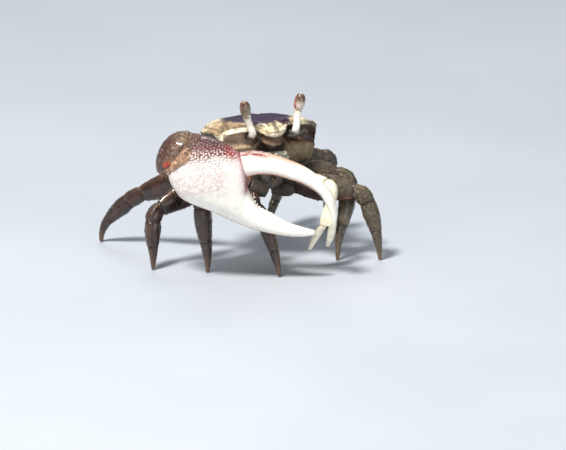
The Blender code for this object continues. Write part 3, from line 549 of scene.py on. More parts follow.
def claw_surface(lower, upper, thick, place, level):
    """A point on the claw's outer face and its normal; level runs from -1 at the lower edge to 1."""
    _, toward, _ = claw_axes()
    middle, upward, half = claw_section(lower, upper, thick, place)
    angle = math.asin(math.copysign(abs(level) ** (1 / CLAW_SQUARENESS), level))
    spot = middle + upward * level + toward * half * math.cos(angle) ** CLAW_SQUARENESS
    normal = toward * math.cos(angle) / half + upward.normalized() * math.sin(angle) / upward.length
    return spot, normal.normalized()


def knuckle_plane():
    """Top and bottom of the palm's flat cut for the moving finger, and the cut's normal along the claw."""
    (top_along, top_height), (low_along, low_height) = KNUCKLE_LINE
    top, low = claw_to_world(top_along, top_height), claw_to_world(low_along, low_height)
    _, toward, _ = claw_axes()
    normal = toward.cross((top - low).normalized()).normalized()
    return top, low, (normal if normal.x > 0 else -normal)


def wrist_rings(count=11):
    """Rings of the wrist and the direction across it, away from the palm."""
    along, toward, up = claw_axes()
    tilt = math.radians(WRIST_TILT)
    long_axis = along * math.cos(tilt) + up * math.sin(tilt)
    short_axis = up * math.cos(tilt) - along * math.sin(tilt)
    middle = claw_to_world(*WRIST_MIDDLE)
    rings = []
    for k in range(count):
        angle = math.pi * (k + 0.35) / (count - 0.3) - math.pi / 2
        size = math.cos(angle)
        rings.append(oval(middle + long_axis * WRIST_HALVES[0] * math.sin(angle),
                          short_axis * WRIST_HALVES[1] * size, toward * WRIST_HALVES[2] * size, 0.95, 16))
    return rings, short_axis


def arm_rings(start, end, halves, count=7):
    start, end = claw_to_world(*start), claw_to_world(*end)
    across, upward = square_axes((end - start).normalized())
    return [oval(start.lerp(end, share), across * profile(halves[0], share), upward * profile(halves[1], share),
                 0.85, 12) for share in (k / (count - 1) for k in range(count))]


def small_claw_rings():
    """Rings of the small claw's wrist, palm, fixed finger and moving finger."""
    _, toward, _ = claw_axes()
    start, end, wrist_end, palm_end = [claw_to_world(*p) for p in (*SMALL_ARM, SMALL_WRIST_END, SMALL_PALM_END)]
    arm_way, palm_way = (end - start).normalized(), (palm_end - wrist_end).normalized()

    def ring(here, way, half, flatness):
        across, upward = hinge_axes(way, toward)
        return oval(here, across * half * flatness, upward * half, 0.9, 12)
    wrist, palm = [], []
    for share in (k / 5 for k in range(6)):
        wrist.append(ring(arc(end + arm_way * JOINT_GAP, end + arm_way * 1.5, wrist_end, share),
                          arm_way.lerp(palm_way, share).normalized(), profile(SMALL_WRIST_HALVES, share), 0.9))
        palm.append(ring((wrist_end + palm_way * JOINT_GAP).lerp(palm_end, share), palm_way,
                         profile(SMALL_PALM_HALVES, share), SMALL_PALM_FLATNESS))
    across, upward = hinge_axes(palm_way, toward)
    tips = [claw_to_world(*p) for p in SMALL_FINGER_TIPS]
    sides = (1, -1) if (tips[0] - palm_end).dot(upward) > 0 else (-1, 1)
    offset, bow = SMALL_FINGER_SPREAD
    fingers = []
    for side, tip in zip(sides, tips):
        root = palm_end + upward * side * offset
        bulge = (root + tip) / 2 + upward * side * bow
        rings = []
        for share in (k / 6 for k in range(7)):
            half = profile(SMALL_FINGER_HALVES, share)
            rings.append(oval(arc(root, bulge, tip, share), across * half, upward * half, 0.9, 10))
        fingers.append(rings)
    moving, fixed = fingers
    moving[0] = [p + palm_way * JOINT_GAP for p in moving[0]]
    return wrist, palm, [[p - palm_way * 0.5 for p in fixed[0]]] + fixed, moving


# Colours, as they look on the animal

def tone(red, green, blue):
    """A colour given in screen values, as linear light."""
    return Vector([((v / 255 + 0.055) / 1.055) ** 2.4 if v > 10 else v / 255 / 12.92 for v in (red, green, blue)])


CREAM = tone(236, 219, 176)
PALE_CREAM = tone(246, 238, 214)
TAN = tone(176, 146, 104)
BROWN = tone(112, 88, 70)
DARK_BROWN = tone(62, 46, 38)
PURPLE = tone(36, 18, 53)
LILAC = tone(72, 53, 92)
MUD = tone(104, 94, 76)
# Dark mud; also used as painted shade on the eyestalks' feet, down in their sockets.
DARK_MUD_AND_SHADE = tone(60, 54, 45)
PALE_MUD = tone(146, 136, 112)
RED_BROWN = tone(118, 58, 42)
WHITE = tone(252, 249, 242)
ROSE = tone(228, 196, 200)
BLACK_BROWN = tone(28, 22, 20)


def blend(a, b, amount):
    return a.lerp(b, min(max(amount, 0.0), 1.0))


def layered(colour, *coats):
    """A colour under coats of others, each with how much of it shows."""
    for over, amount in coats:
        colour = blend(colour, over, amount)
    return colour


def grain(point, size, seed=0.0):
    """Smooth noise from -1 to 1 with features of about the given size."""
    return noise.noise(Vector(point) / size + Vector((seed, seed * 1.7, -seed)))


def rough_grain(point, size, seed=0.0):
    """Noise from about -1 to 1 with finer detail on it."""
    here = Vector(point) / size + Vector((seed, -seed, seed * 0.6))
    return (noise.noise(here) + 0.5 * noise.noise(here * 2.1) + 0.25 * noise.noise(here * 4.3)) / 1.4


def bell(value, middle, width):
    return math.exp(-((value - middle) / width) ** 2)


def ridges(share, count):
    """Even ridges along a form, from none to 1."""
    return 0.5 + 0.5 * math.sin(share * 2 * math.pi * count)


def cracks(point, size, seed, width):
    """Fine winding lines, from none to 1."""
    return 1 - ramp(abs(rough_grain(point, size, seed)), 0.0, width)


def lumpy(point, size, seed, low, high):
    """Lumps with smooth ground between them, from none to 1."""
    return ramp(rough_grain(point, size, seed), low, high)


def grainy(amount, size, seed):
    """A relief of plain grain."""
    return lambda s, t, point, normal: amount * rough_grain(point, size, seed)


def plain(colour):
    """One colour all over."""
    return lambda point, s, t, normal: colour


# Materials

def set_values(node, values):
    for key, value in values.items():
        node.inputs[key].default_value = value


class Nodes:
    """Builds a node tree with short calls."""

    def __init__(self, name):
        self.material = bpy.data.materials.new(name)
        self.material.use_nodes = True
        self.tree = self.material.node_tree
        self.shader = self.tree.nodes["Principled BSDF"]
        self.place = self.add("ShaderNodeTexCoord").outputs["Object"]

    def add(self, kind, values=None, **settings):
        node = self.tree.nodes.new(kind)
        for key, value in settings.items():
            setattr(node, key, value)
        set_values(node, values or {})
        return node

    def link(self, source, target):
        self.tree.links.new(source, target)

    def noise(self, size, detail=3.0, roughness=0.55, warp=0.0):
        """Noise with features of about size millimetres."""
        node = self.add("ShaderNodeTexNoise", {"Scale": 1.0 / (size * MM), "Detail": detail,
                                               "Roughness": roughness, "Distortion": warp})
        self.link(self.place, node.inputs["Vector"])
        return node.outputs["Fac"]

    def cells(self, size):
        node = self.add("ShaderNodeTexVoronoi", {"Scale": 1.0 / (size * MM)})
        self.link(self.place, node.inputs["Vector"])
        return node.outputs["Distance"]

    def ramp(self, value, low, high, out_low=0.0, out_high=1.0):
        node = self.add("ShaderNodeMapRange", interpolation_type="SMOOTHSTEP",
                        values={"From Min": low, "From Max": high, "To Min": out_low, "To Max": out_high})
        self.link(value, node.inputs["Value"])
        return node.outputs["Result"]

    def feed(self, slot, value):
        """Sets an input to a number or a colour, or links an output to it."""
        if isinstance(value, (int, float)):
            slot.default_value = value
        elif isinstance(value, Vector):
            slot.default_value = (*value, 1.0)
        else:
            self.link(value, slot)

    def math(self, operation, a, b):
        node = self.add("ShaderNodeMath", operation=operation)
        for slot, value in zip(node.inputs, (a, b)):
            self.feed(slot, value)
        return node.outputs[0]

    def mix(self, amount, a, b, kind="MIX"):
        node = self.add("ShaderNodeMix", data_type="RGBA", blend_type=kind)
        for key, value in (("Factor", amount), ("A", a), ("B", b)):
            self.feed(node.inputs[key], value)
        return [s for s in node.outputs if s.type == "RGBA"][0]

    def bump(self, height, depth, before=None):
        """Relief of the given depth in millimetres."""
        node = self.add("ShaderNodeBump", {"Strength": 1.0, "Distance": depth * MM})
        self.link(height, node.inputs["Height"])
        if before is not None:
            self.link(before, node.inputs["Normal"])
        return node.outputs["Normal"]


def shell_material(name, gloss=(0.28, 0.5), coat=0.25, mottle=(0.82, 1.14), mottle_size=1.4, speck=None,
                   bumps=((0.55, 0.05), (0.14, 0.012)), pebble=None, veins=None, soft=0.0, specular=0.55, film=0.12):
    """Painted shell: colour from the painted zones, broken up by mottling, specks and fine relief."""
    n = Nodes(name)
    paint = n.add("ShaderNodeAttribute", attribute_name="paint")
    colour = paint.outputs["Color"]
    patches = n.ramp(n.noise(mottle_size, 4.0, 0.6), 0.3, 0.7, *mottle)
    shade = n.add("ShaderNodeCombineColor")
    for slot in shade.inputs:
        n.link(patches, slot)
    colour = n.mix(1.0, colour, shade.outputs[0], "MULTIPLY")
    if speck:
        size, dark, amount = speck
        dots = n.ramp(n.cells(size), 0.16, 0.34, 1.0, 0.0)
        gate = n.ramp(n.noise(size * 3.1, 2.0), 0.45, 0.62, 0.0, amount)
        colour = n.mix(n.math("MULTIPLY", dots, gate), colour, dark)
    if veins:
        size, ink, amount, width, depth = veins
        across = n.math("ABSOLUTE", n.math("SUBTRACT", n.noise(size, 1.0, 0.4, 1.2), 0.5), 0.0)
        lines = n.math("MULTIPLY", n.ramp(across, 0.0, width, 1.0, 0.0), paint.outputs["Alpha"])
        colour = n.mix(n.math("MULTIPLY", lines, amount), colour, ink)
    n.link(colour, n.shader.inputs["Base Color"])
    n.link(n.ramp(n.noise(0.8, 3.0), 0.3, 0.7, *gloss), n.shader.inputs["Roughness"])
    normal = n.bump(lines, -depth) if veins else None
    if pebble:
        size, depth = pebble
        normal = n.bump(n.ramp(n.cells(size), 0.0, 0.6, 1.0, 0.0), depth, normal)
    for size, depth in bumps:
        normal = n.bump(n.noise(size, 3.0), depth, normal)
    n.link(normal, n.shader.inputs["Normal"])
    set_values(n.shader, {"Coat Weight": coat, "Coat Roughness": film, "Specular IOR Level": specular})
    if soft:
        set_values(n.shader, {"Subsurface Weight": soft, "Subsurface Radius": (0.6 * MM, 0.4 * MM, 0.3 * MM),
                              "Subsurface Scale": 1.0})
    return n.material


def bristle_material(name, gloss=(0.35, 0.55)):
    return shell_material(name, gloss=gloss, coat=0.1, bumps=((0.2, 0.01),))


# Fine meshes

SHIFT = Vector((FOOTPRINT_SHIFT[0], FOOTPRINT_SHIFT[1], 0.0))
SHARP_ANGLE = math.radians(50)
BRISTLE_RADIUS = 0.024
BRISTLE_PATCH = 0.003      # size of a bristle on the map of its skin


def refine(values, parts, closed):
    """Points put between those of an array's first axis, on smooth curves through them."""
    count = len(values)
    rows = []
    for k in range(count if closed else count - 1):
        near = [values[(k + j) % count if closed else min(max(k + j, 0), count - 1)] for j in (-1, 0, 1, 2)]
        rows += [spline(*near, step / parts) for step in range(parts)]
    if not closed:
        rows.append(values[-1])
    return np.array(rows)


def grid_normals(grid):
    """Outward normals over a grid of rings."""
    around = np.roll(grid, -1, axis=1) - np.roll(grid, 1, axis=1)
    along = np.gradient(grid, axis=0)
    normal = np.cross(around, along)
    normal /= np.maximum(np.linalg.norm(normal, axis=2, keepdims=True), 1e-9)
    middle = grid.mean(axis=1, keepdims=True)
    outward = np.sum(normal * (grid - middle), axis=2).sum()
    return normal if outward > 0 else -normal


def tube_faces(rows, count, start=0):
    """Faces between the rings of a tube, whose points are numbered from a start."""
    return [(a + j, a + (j + 1) % count, a + count + (j + 1) % count, a + count + j)
            for a in range(start, start + (rows - 1) * count, count) for j in range(count)]


def new_mesh(name, points, faces):
    mesh = bpy.data.meshes.new(name)
    mesh.from_pydata([(Vector(p) + SHIFT) * MM for p in points], [], faces)
    return mesh


def tip_of(ring, inner, crown):
    """The middle of an end ring, moved away from the ring inside it."""
    middle = ring.mean(axis=0)
    way = middle - inner.mean(axis=0)
    return middle + way / max(np.linalg.norm(way), 1e-9) * crown


def skin(name, rings, material, along=4, around=4, relief=None, crown=0.0):
    """A closed fine form through coarse rings, with relief(s, t, point, normal) pushed out along its normal."""
    grid = np.array([[tuple(p) for p in ring] for ring in rings])
    if along > 1:
        grid = refine(grid, along, False)
    if around > 1:
        grid = refine(grid.transpose(1, 0, 2), around, True).transpose(1, 0, 2)
    rows, count = grid.shape[:2]
    normals = grid_normals(grid)
    if relief:
        push = np.zeros((rows, count))
        for i in range(rows):
            for j in range(count):
                push[i, j] = relief(i / (rows - 1), j / count, grid[i, j], normals[i, j])
        grid = grid + normals * push[:, :, None]
    tips = [tip_of(grid[0], grid[1], crown), tip_of(grid[-1], grid[-2], crown)]
    points = np.vstack([grid.reshape(-1, 3), *tips])
    faces = tube_faces(rows, count)
    end = rows * count
    for j in range(count):
        n = (j + 1) % count
        faces += [(n, j, end), (end - count + j, end - count + n, end + 1)]
    mesh = new_mesh(name, points, faces)
    run = np.append(np.repeat(np.arange(rows) / (rows - 1), count), (0.0, 1.0)).astype(np.float32)
    turn = np.append(np.tile(np.arange(count) / count, rows), (0.0, 0.0)).astype(np.float32)
    for label, values in (("run", run), ("turn", turn)):
        mesh.attributes.new(label, "FLOAT", "POINT").data.foreach_set("value", values)
    shape = bmesh.new()
    shape.from_mesh(mesh)
    bmesh.ops.recalc_face_normals(shape, faces=shape.faces)
    shape.to_mesh(mesh)
    shape.free()
    return finish_mesh(name, mesh, material)


def finish_mesh(name, mesh, material):
    mesh.materials.append(material)
    mesh.shade_smooth()
    mesh.set_sharp_from_angle(angle=SHARP_ANGLE)
    piece = bpy.data.objects.new(name, mesh)
    bpy.context.scene.collection.objects.link(piece)
    return piece


def slice_piece(piece, point, outward):
    """Cuts a piece flat beyond a plane and closes the cut."""
    shape = bmesh.new()
    shape.from_mesh(piece.data)
    cut = bmesh.ops.bisect_plane(shape, geom=shape.verts[:] + shape.edges[:] + shape.faces[:],
                                 plane_co=(point + SHIFT) * MM, plane_no=outward, clear_outer=True)
    rim = [e for e in cut["geom_cut"] if isinstance(e, bmesh.types.BMEdge)]
    bmesh.ops.contextual_create(shape, geom=rim)
    bmesh.ops.triangulate(shape, faces=[f for f in shape.faces if len(f.verts) > 4])
    bmesh.ops.recalc_face_normals(shape, faces=shape.faces)
    shape.to_mesh(piece.data)
    shape.free()
    piece.data.set_sharp_from_angle(angle=SHARP_ANGLE)


def paint(piece, colour_at):
    """Colours each point: colour_at(point, run, turn, normal) gives a colour and how strong its veins are."""
    mesh = piece.data
    count = len(mesh.vertices)
    run, turn = np.zeros(count, np.float32), np.zeros(count, np.float32)
    for label, store in (("run", run), ("turn", turn)):
        if label in mesh.attributes:
            mesh.attributes[label].data.foreach_get("value", store)
    colours = np.empty((count, 4), np.float32)
    for k, vert in enumerate(mesh.vertices):
        found = colour_at(vert.co / MM - SHIFT, run[k], turn[k], vert.normal)
        colours[k, :3], colours[k, 3] = (found[0], found[1]) if isinstance(found, tuple) else (found, 0.0)
    layer = mesh.attributes.new("paint", "FLOAT_COLOR", "POINT")
    layer.data.foreach_set("color", colours.ravel())
    for label in ("run", "turn"):
        if label in mesh.attributes:
            mesh.attributes.remove(mesh.attributes[label])
    return piece


def join_pieces(name, pieces, material):
    """One object from several meshes, with what was painted on them kept."""
    shape = bmesh.new()
    for piece in pieces:
        shape.from_mesh(piece.data)
    mesh = bpy.data.meshes.new(name)
    shape.to_mesh(mesh)
    shape.free()
    for piece in pieces:
        bpy.data.objects.remove(piece, do_unlink=True)
    return finish_mesh(name, mesh, material)


def domes(name, places, material, rings=6, count=12):
    """Smooth round knobs in one object: each place is a spot, its normal, a radius and a height."""
    points, faces = [], []
    for spot, normal, radius, height in places:
        side = normal.cross(Vector((0.31, 0.52, 0.79))).normalized()
        other = normal.cross(side)
        start = len(points)
        for i in range(rings):
            angle = math.pi / 2 * i / rings * 1.25 - math.pi / 2 * 0.25
            for j in range(count):
                turn = 2 * math.pi * j / count
                flat = side * math.cos(turn) + other * math.sin(turn)
                points.append(spot + flat * radius * math.cos(angle) + normal * height * math.sin(angle))
        points.append(spot + normal * height)
        points.append(spot - normal * height * 0.4)
        faces += tube_faces(rings, count, start)
        top = start + rings * count
        for j in range(count):
            n = (j + 1) % count
            faces += [(top - count + j, top - count + n, top), (start + n, start + j, top + 1)]
    return finish_mesh(name, new_mesh(name, points, faces), material)


def hairs(name, roots, material):
    """Tapered bristles in one object: each root is a spot, a direction, a length, a droop and its place on the skin."""
    points, faces, places = [], [], []
    for spot, way, length, droop, place in roots:
        side = way.cross(Vector((0.27, 0.61, 0.74))).normalized()
        other = way.cross(side).normalized()
        start = len(points)
        for i, (share, size) in enumerate(((-0.15, 1.0), (0.4, 0.8), (0.8, 0.45))):
            middle = spot + way * length * share + droop * share * share
            for j in range(3):
                turn = 2 * math.pi * j / 3
                points.append(middle + (side * math.cos(turn) + other * math.sin(turn)) * BRISTLE_RADIUS * size)
                places.append((place[0] + BRISTLE_PATCH * i / 3, place[1] + BRISTLE_PATCH * j / 2))
        points.append(spot + way * length + droop)
        places.append((place[0] + BRISTLE_PATCH, place[1] + BRISTLE_PATCH / 2))
        faces += tube_faces(3, 3, start)
        faces += [(start + 6 + j, start + 6 + (j + 1) % 3, start + 9) for j in range(3)]
        faces.append((start + 2, start + 1, start))
    mesh = new_mesh(name, points, faces)
    layer = mesh.uv_layers.new(name="OFBake")
    for loop in mesh.loops:
        layer.data[loop.index].uv = places[loop.vertex_index]
    return finish_mesh(name, mesh, material)


def stand_in(piece, slot, *nodes):
    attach(piece, "root")
    if nodes:
        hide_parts(*nodes)
    return piece


# Shell

RING_STEPS = 15                 # steps between the shell's rings, from the middle of the back to the lower rim
EDGE_RUN = 6 / RING_STEPS       # share of the way at which the shell's edge lies


def shell_groove(x, y):
    """Depth of the grooves on the back, from none to 1."""
    ax = abs(x)
    heart = bell(ax, 2.1 + 0.12 * (y - 6.5) ** 2 * 0.3, 0.34) * ramp(y, 3.4, 4.6) * (1 - ramp(y, 9.6, 10.8))
    bar = bell(y, 6.4, 0.4) * (1 - ramp(ax, 1.7, 2.4))
    neck = bell(y, 3.2 + 0.34 * ax, 0.36) * ramp(ax, 1.0, 2.2) * (1 - ramp(ax, 6.8, 8.2))
    gill = bell(ax, 8.6 - 0.36 * y, 0.34) * (1 - ramp(y, 7.5, 9.5))
    middle = bell(x, 0.35, 0.42) * (1 - ramp(y, 1.2, 2.6))
    lump = bell(x, 0.6 * y - 10.0, 0.24) * ramp(y, 1.2, 1.8) * (1 - ramp(y, 4.2, 5.2))
    return max(heart, bar, neck * 0.9, gill, middle * 0.9, lump)


def shell_relief(s, t, point, normal):
    x, y, _ = world_to_body(point)
    push = 0.03 * rough_grain(point, 0.5, 3.0)
    if s < EDGE_RUN:
        inner = 1 - ramp(s, EDGE_RUN - 0.03, EDGE_RUN)
        front = 1 - ramp(y, 8.0, 10.0)
        push += inner * (-0.2 * shell_groove(x, y) + (0.13 + 0.07 * front) * rough_grain(point, 2.2, 1.0))
        push += 0.14 * bell(s, EDGE_RUN - 0.02, 0.02) * front - 0.14 * bell(s, 0.312, 0.016) * front
        swelling = ramp(-x, 5.6, 6.6) * (1 - ramp(y, 4.0, 6.0))
        push += 0.09 * swelling * lumpy(point, 0.5, 14.0, 0.0, 0.5)
        crack = cracks(point, 1.1, 33.0, 0.09)
        push -= 0.08 * crack * (1 - ramp(s, 0.35, 0.38))
    else:
        depth = (s - EDGE_RUN) * RING_STEPS
        front = 1 - ramp(y, 2.2, 3.2)
        knobs = ridges(t, 150)
        push += 0.12 * knobs * bell(depth, 5.0, 0.18) * front * ramp(abs(x), 2.8, 3.6)
        push += 0.1 * rough_grain(point, 1.2, 6.0) * ramp(depth, 0.0, 0.8)
        push += 0.07 * lumpy(point, 0.42, 31.0, 0.1, 0.6) * ramp(depth, 1.2, 2.0)
        push += 0.16 * rough_grain(point, 0.7, 8.0) * front * ramp(depth, 0.2, 1.0)
        push -= 0.12 * bell(depth, 6.3, 0.2) * (1 - front)
        push += 0.55 * bell(depth, 1.2, 0.5) * front * socket_lip(x)
    return push


def socket_lip(x):
    """Where the shell's front edge has its thick pale lip, over the eye socket on the great claw's side; the lip's
    cream is also painted lighter there, as painted light.
    """
    return (1 - ramp(x, -4.6, -3.6)) * ramp(x, -9.6, -8.2)


def shell_colour(point, s, t, normal):
    x, y, _ = world_to_body(point)
    blot, fine = rough_grain(point, 1.7, 2.0), rough_grain(point, 0.45, 5.0)
    if s < EDGE_RUN + 0.012:
        return back_colour(point, s, x, y, blot, fine)
    depth = (s - EDGE_RUN) * RING_STEPS
    front = 1 - ramp(y, 1.8, 3.4)
    end = 1.25 + 0.9 * (1 - ramp(x, -5.5, -4.0)) + 0.3 * ramp(x, 3.5, 5.0)
    bar = (1 - ramp(depth, end - 0.5, end + 0.15)) * front * (1 - 0.85 * ramp(x, 6.5, 8.5))
    # The front edge's cream, painted lighter still over the socket lip as painted light.
    lit = layered(CREAM, (PALE_CREAM, 0.6 + blot), (TAN, ramp(fine, 0.2, 0.6) * 0.5),
                  (tone(252, 244, 222), 0.7 * socket_lip(x)))
    return layered(MUD, (DARK_MUD_AND_SHADE, 0.45 + 0.9 * blot),
                   (PALE_MUD, ramp(fine, 0.1, 0.6) * 0.4),
                   (RED_BROWN, ramp(grain(point, 2.1, 9.0), 0.0, 0.5) * 0.4),
                   (tone(166, 142, 108), lumpy(point, 0.9, 44.0, 0.25, 0.6) * 0.5),
                   (face_colour(x, depth, blot, fine), front),
                   (lit, bar)), 0.7 * bar


def back_colour(point, s, x, y, blot, fine):
    """The cream back with its purple patch, and how strong its veins are."""
    swelling = ramp(-x, 3.8, 5.6) * (1 - ramp(y, 5.0, 8.0))
    length = 5.2 if y > 5.5 else 6.0
    spread = ((x - 0.2) / 6.9) ** 2 + ((y - 5.5) / length) ** 2 + 0.3 * blot + 0.24 * fine
    wedge = 0.16 + 0.4 * ramp(y, -0.6, 1.4)
    patch = max(1 - ramp(spread, 0.74, 1.06), bell(x, 0.25, wedge) * ramp(y, -1.3, -0.3) * (1 - ramp(y, 2.0, 3.5)))
    corner = ramp(x, 8.0, 9.2) * (1 - ramp(y, 2.5, 4.0))
    inky = layered(PURPLE, (LILAC, ramp(blot + 0.6 * fine, 0.25, 0.9) * 0.5),
                   (tone(58, 36, 40), 0.55 * ramp(-blot, 0.0, 0.5)),
                   (BROWN, 0.5 * bell(spread, 0.85, 0.14) * ramp(fine, 0.0, 0.4)))
    return layered(CREAM, (PALE_CREAM, 0.45 + 0.9 * blot),
                   (TAN, ramp(fine + 0.5 * blot, 0.0, 0.6) * 0.75),
                   (blend(tone(176, 148, 106), tone(120, 96, 72), 0.45 + blot), 0.8 * swelling),
                   (BROWN, 0.7 * cracks(point, 1.1, 33.0, 0.1) * (1 - ramp(s, 0.35, 0.38))),
                   # Painted shade in the groove behind the front edge.
                   (BROWN, 0.8 * bell(s, 0.31, 0.015) * ramp(abs(x), 2.6, 3.4)),
                   (inky, patch),
                   # Painted shade in the grooves of the back.
                   (DARK_BROWN, 0.75 * shell_groove(x, y) * (1 - 0.6 * patch)),
                   (tone(250, 236, 206), 0.6 * bell(x, 6.6, 1.1) * (1 - ramp(y, 1.5, 3.5))),
                   (tone(124, 74, 56), 0.9 * corner),
                   (blend(MUD, PALE_MUD, 0.5 + blot), 0.55 * ramp(y, 9.5, 12.5))), 0.9 * (1 - patch)


def face_colour(x, depth, blot, fine):
    """The muddy face under the shell's front edge, from the claw's side across the middle to the far corner, with
    painted light on the claw's side, painted shade in the far eye socket and in the mouth's slot, and a painted glint.
    """
    # Painted light: the face on the great claw's side is painted lighter.
    lit_claw_side = blend(tone(190, 169, 146), tone(134, 112, 94), 0.45 + 0.9 * blot)
    middle = blend(tone(140, 118, 98), tone(92, 72, 58), 0.45 + 0.9 * blot)
    # Painted shade: the upper part of the far eye socket is painted dark.
    shaded_hollow = blend(tone(84, 68, 58), tone(58, 44, 38), 0.5 + blot)
    cheek = blend(tone(150, 134, 106), tone(104, 88, 66), 0.4 + 0.9 * blot)
    ridge = bell(depth, 4.7, 0.4) * ramp(abs(x), 2.2, 3.4)
    edge = bell(depth, 4.5, 0.45) * (1 - ramp(abs(x - 0.4), 2.2, 3.2))
    slot = ramp(depth, 4.9, 5.4) * (1 - ramp(abs(x - 0.3), 2.4, 3.4))
    return layered(lit_claw_side, (middle, ramp(x, -3.8, -2.4)),
                   (blend(shaded_hollow, cheek, ramp(depth, 4.4, 5.6)), ramp(x, 2.0, 3.4)),
                   (tone(190, 164, 128), ramp(fine + 0.4 * blot, 0.2, 0.7) * 0.45),
                   # Painted reflection: a blue-grey glint in the far eye socket.
                   (tone(128, 132, 140), 0.5 * bell(depth, 3.4, 0.4) * ramp(x, 6.4, 8.0)),
                   (blend(tone(186, 152, 112), tone(132, 86, 66), ramp(x, -4.0, 4.0)), 0.55 * ridge),
                   (tone(104, 62, 48), 0.4 * edge),
                   (tone(196, 190, 156), 0.8 * bell(x, 3.6, 0.5) * bell(depth, 7.9, 0.7)),
                   # Painted shade: the mouth's slot is painted black-brown.
                   (BLACK_BROWN, 0.75 * slot))


def fill_sockets(rings):
    """Brings the soft flesh of the eye sockets and above the mouth forward, nearly level with the shell's edge."""
    ahead = body_way((0, -1, 0))
    for ring, share in zip(rings, (0, 0, 1, 1, 0.6, 0.1)):
        for j, point in enumerate(ring):
            x, y, _ = world_to_body(point)
            outer = ramp(abs(x), 4.4, 5.4)
            amount = 0.5 + 0.35 * outer - 0.2 * bell(abs(x), 3.6, 0.9)
            ring[j] = point + ahead * amount * share * (1 - ramp(y, 2.2, 3.4))
    return rings


def make_shell():
    material = shell_material("shell_paint", gloss=(0.4, 0.6), coat=0.03, mottle=(0.82, 1.1),
                              speck=(0.4, DARK_BROWN, 0.45), bumps=((0.5, 0.07), (0.16, 0.02)), specular=0.2,
                              pebble=(0.3, 0.025), veins=(1.25, tone(96, 70, 48), 0.8, 0.045, 0.09))
    rings = back_rings((0.06, *SHELL_SHARES)) + fill_sockets(wall_rings())
    piece = skin("carapace_shell", rings, material, along=5, around=5, relief=shell_relief)
    stand_in(paint(piece, shell_colour), "shell", "carapace")


# Underside

CHEST_SEAMS = (2.6, 4.4, 6.2, 8.0, 9.6)         # how far back the chest's plates meet
TAIL_SEAMS = (0.16, 0.32, 0.48, 0.64, 0.8)      # where along the tail flap its rings meet
FRINGE_BRISTLES = 90                            # on each door of the mouth


def under_colour(point, s, t, normal):
    return layered(DARK_MUD_AND_SHADE, (MUD, 0.5 + 0.9 * rough_grain(point, 1.8, 12.0)),
                   (PALE_MUD, lumpy(point, 0.45, 4.0, 0.1, 0.6) * 0.35),
                   (RED_BROWN, ramp(grain(point, 2.1, 7.0), 0.1, 0.6) * 0.45))


def chest_relief(s, t, point, normal):
    x, y, _ = world_to_body(point)
    seams = max(bell(y - 0.12 * abs(x), at, 0.16) for at in CHEST_SEAMS)
    push = -0.2 * seams * ramp(s, 0.35, 0.6) - 0.15 * bell(x, 0.0, 0.25) * ramp(s, 0.5, 0.8)
    return push + 0.04 * rough_grain(point, 0.9, 2.0)


def make_underside():
    material = shell_material("under_paint", gloss=(0.35, 0.6), coat=0.15, pebble=(0.35, 0.03))
    # Each part carries how far it is painted darker, as painted shade: most on the claws' roots under the great claw,
    # then the legs' roots, least on the trunk.
    parts = [(skin("trunk", chest_rings(), material, along=8, around=4, relief=chest_relief), 0.2)]
    for rings in [leg_root(settings) for settings in LEGS.values()]:
        parts.append((skin("leg_root", rings, material, along=5, around=3, relief=grainy(0.05, 0.7, 5.0)), 0.55))
    for rings in (claw_root(ARM_START, ARM_END), claw_root(*SMALL_ARM)):
        parts.append((skin("claw_root", rings, material, along=6, around=4,
                           relief=lambda s, t, p, n: 0.16 * rough_grain(p, 1.3, 9.0) + 0.05 * rough_grain(p, 0.5, 2.0)),
                      0.8))
    for part, shade in parts:
        paint(part, lambda p, s, t, n, shade=shade: blend(under_colour(p, s, t, n), tone(42, 33, 27), shade))
    stand_in(join_pieces("chest_plates", [part for part, _ in parts], material), "underside", "chest")
    make_tail(material)
    make_mouth(material)


def make_tail(material):
    def seam(s, width):
        return max(bell(s, at, width) for at in TAIL_SEAMS)

    def relief(s, t, point, normal):
        return -0.16 * seam(s, 0.018) + 0.03 * rough_grain(point, 0.7, 8.0)

    def colour(point, s, t, normal):
        return layered(under_colour(point, s, t, normal), (TAN, 0.45), (DARK_BROWN, 0.6 * seam(s, 0.022)))
    piece = skin("tail_flap", tail_rings(), material, along=9, around=4, relief=relief)
    stand_in(paint(piece, colour), "underside", "abdomen")


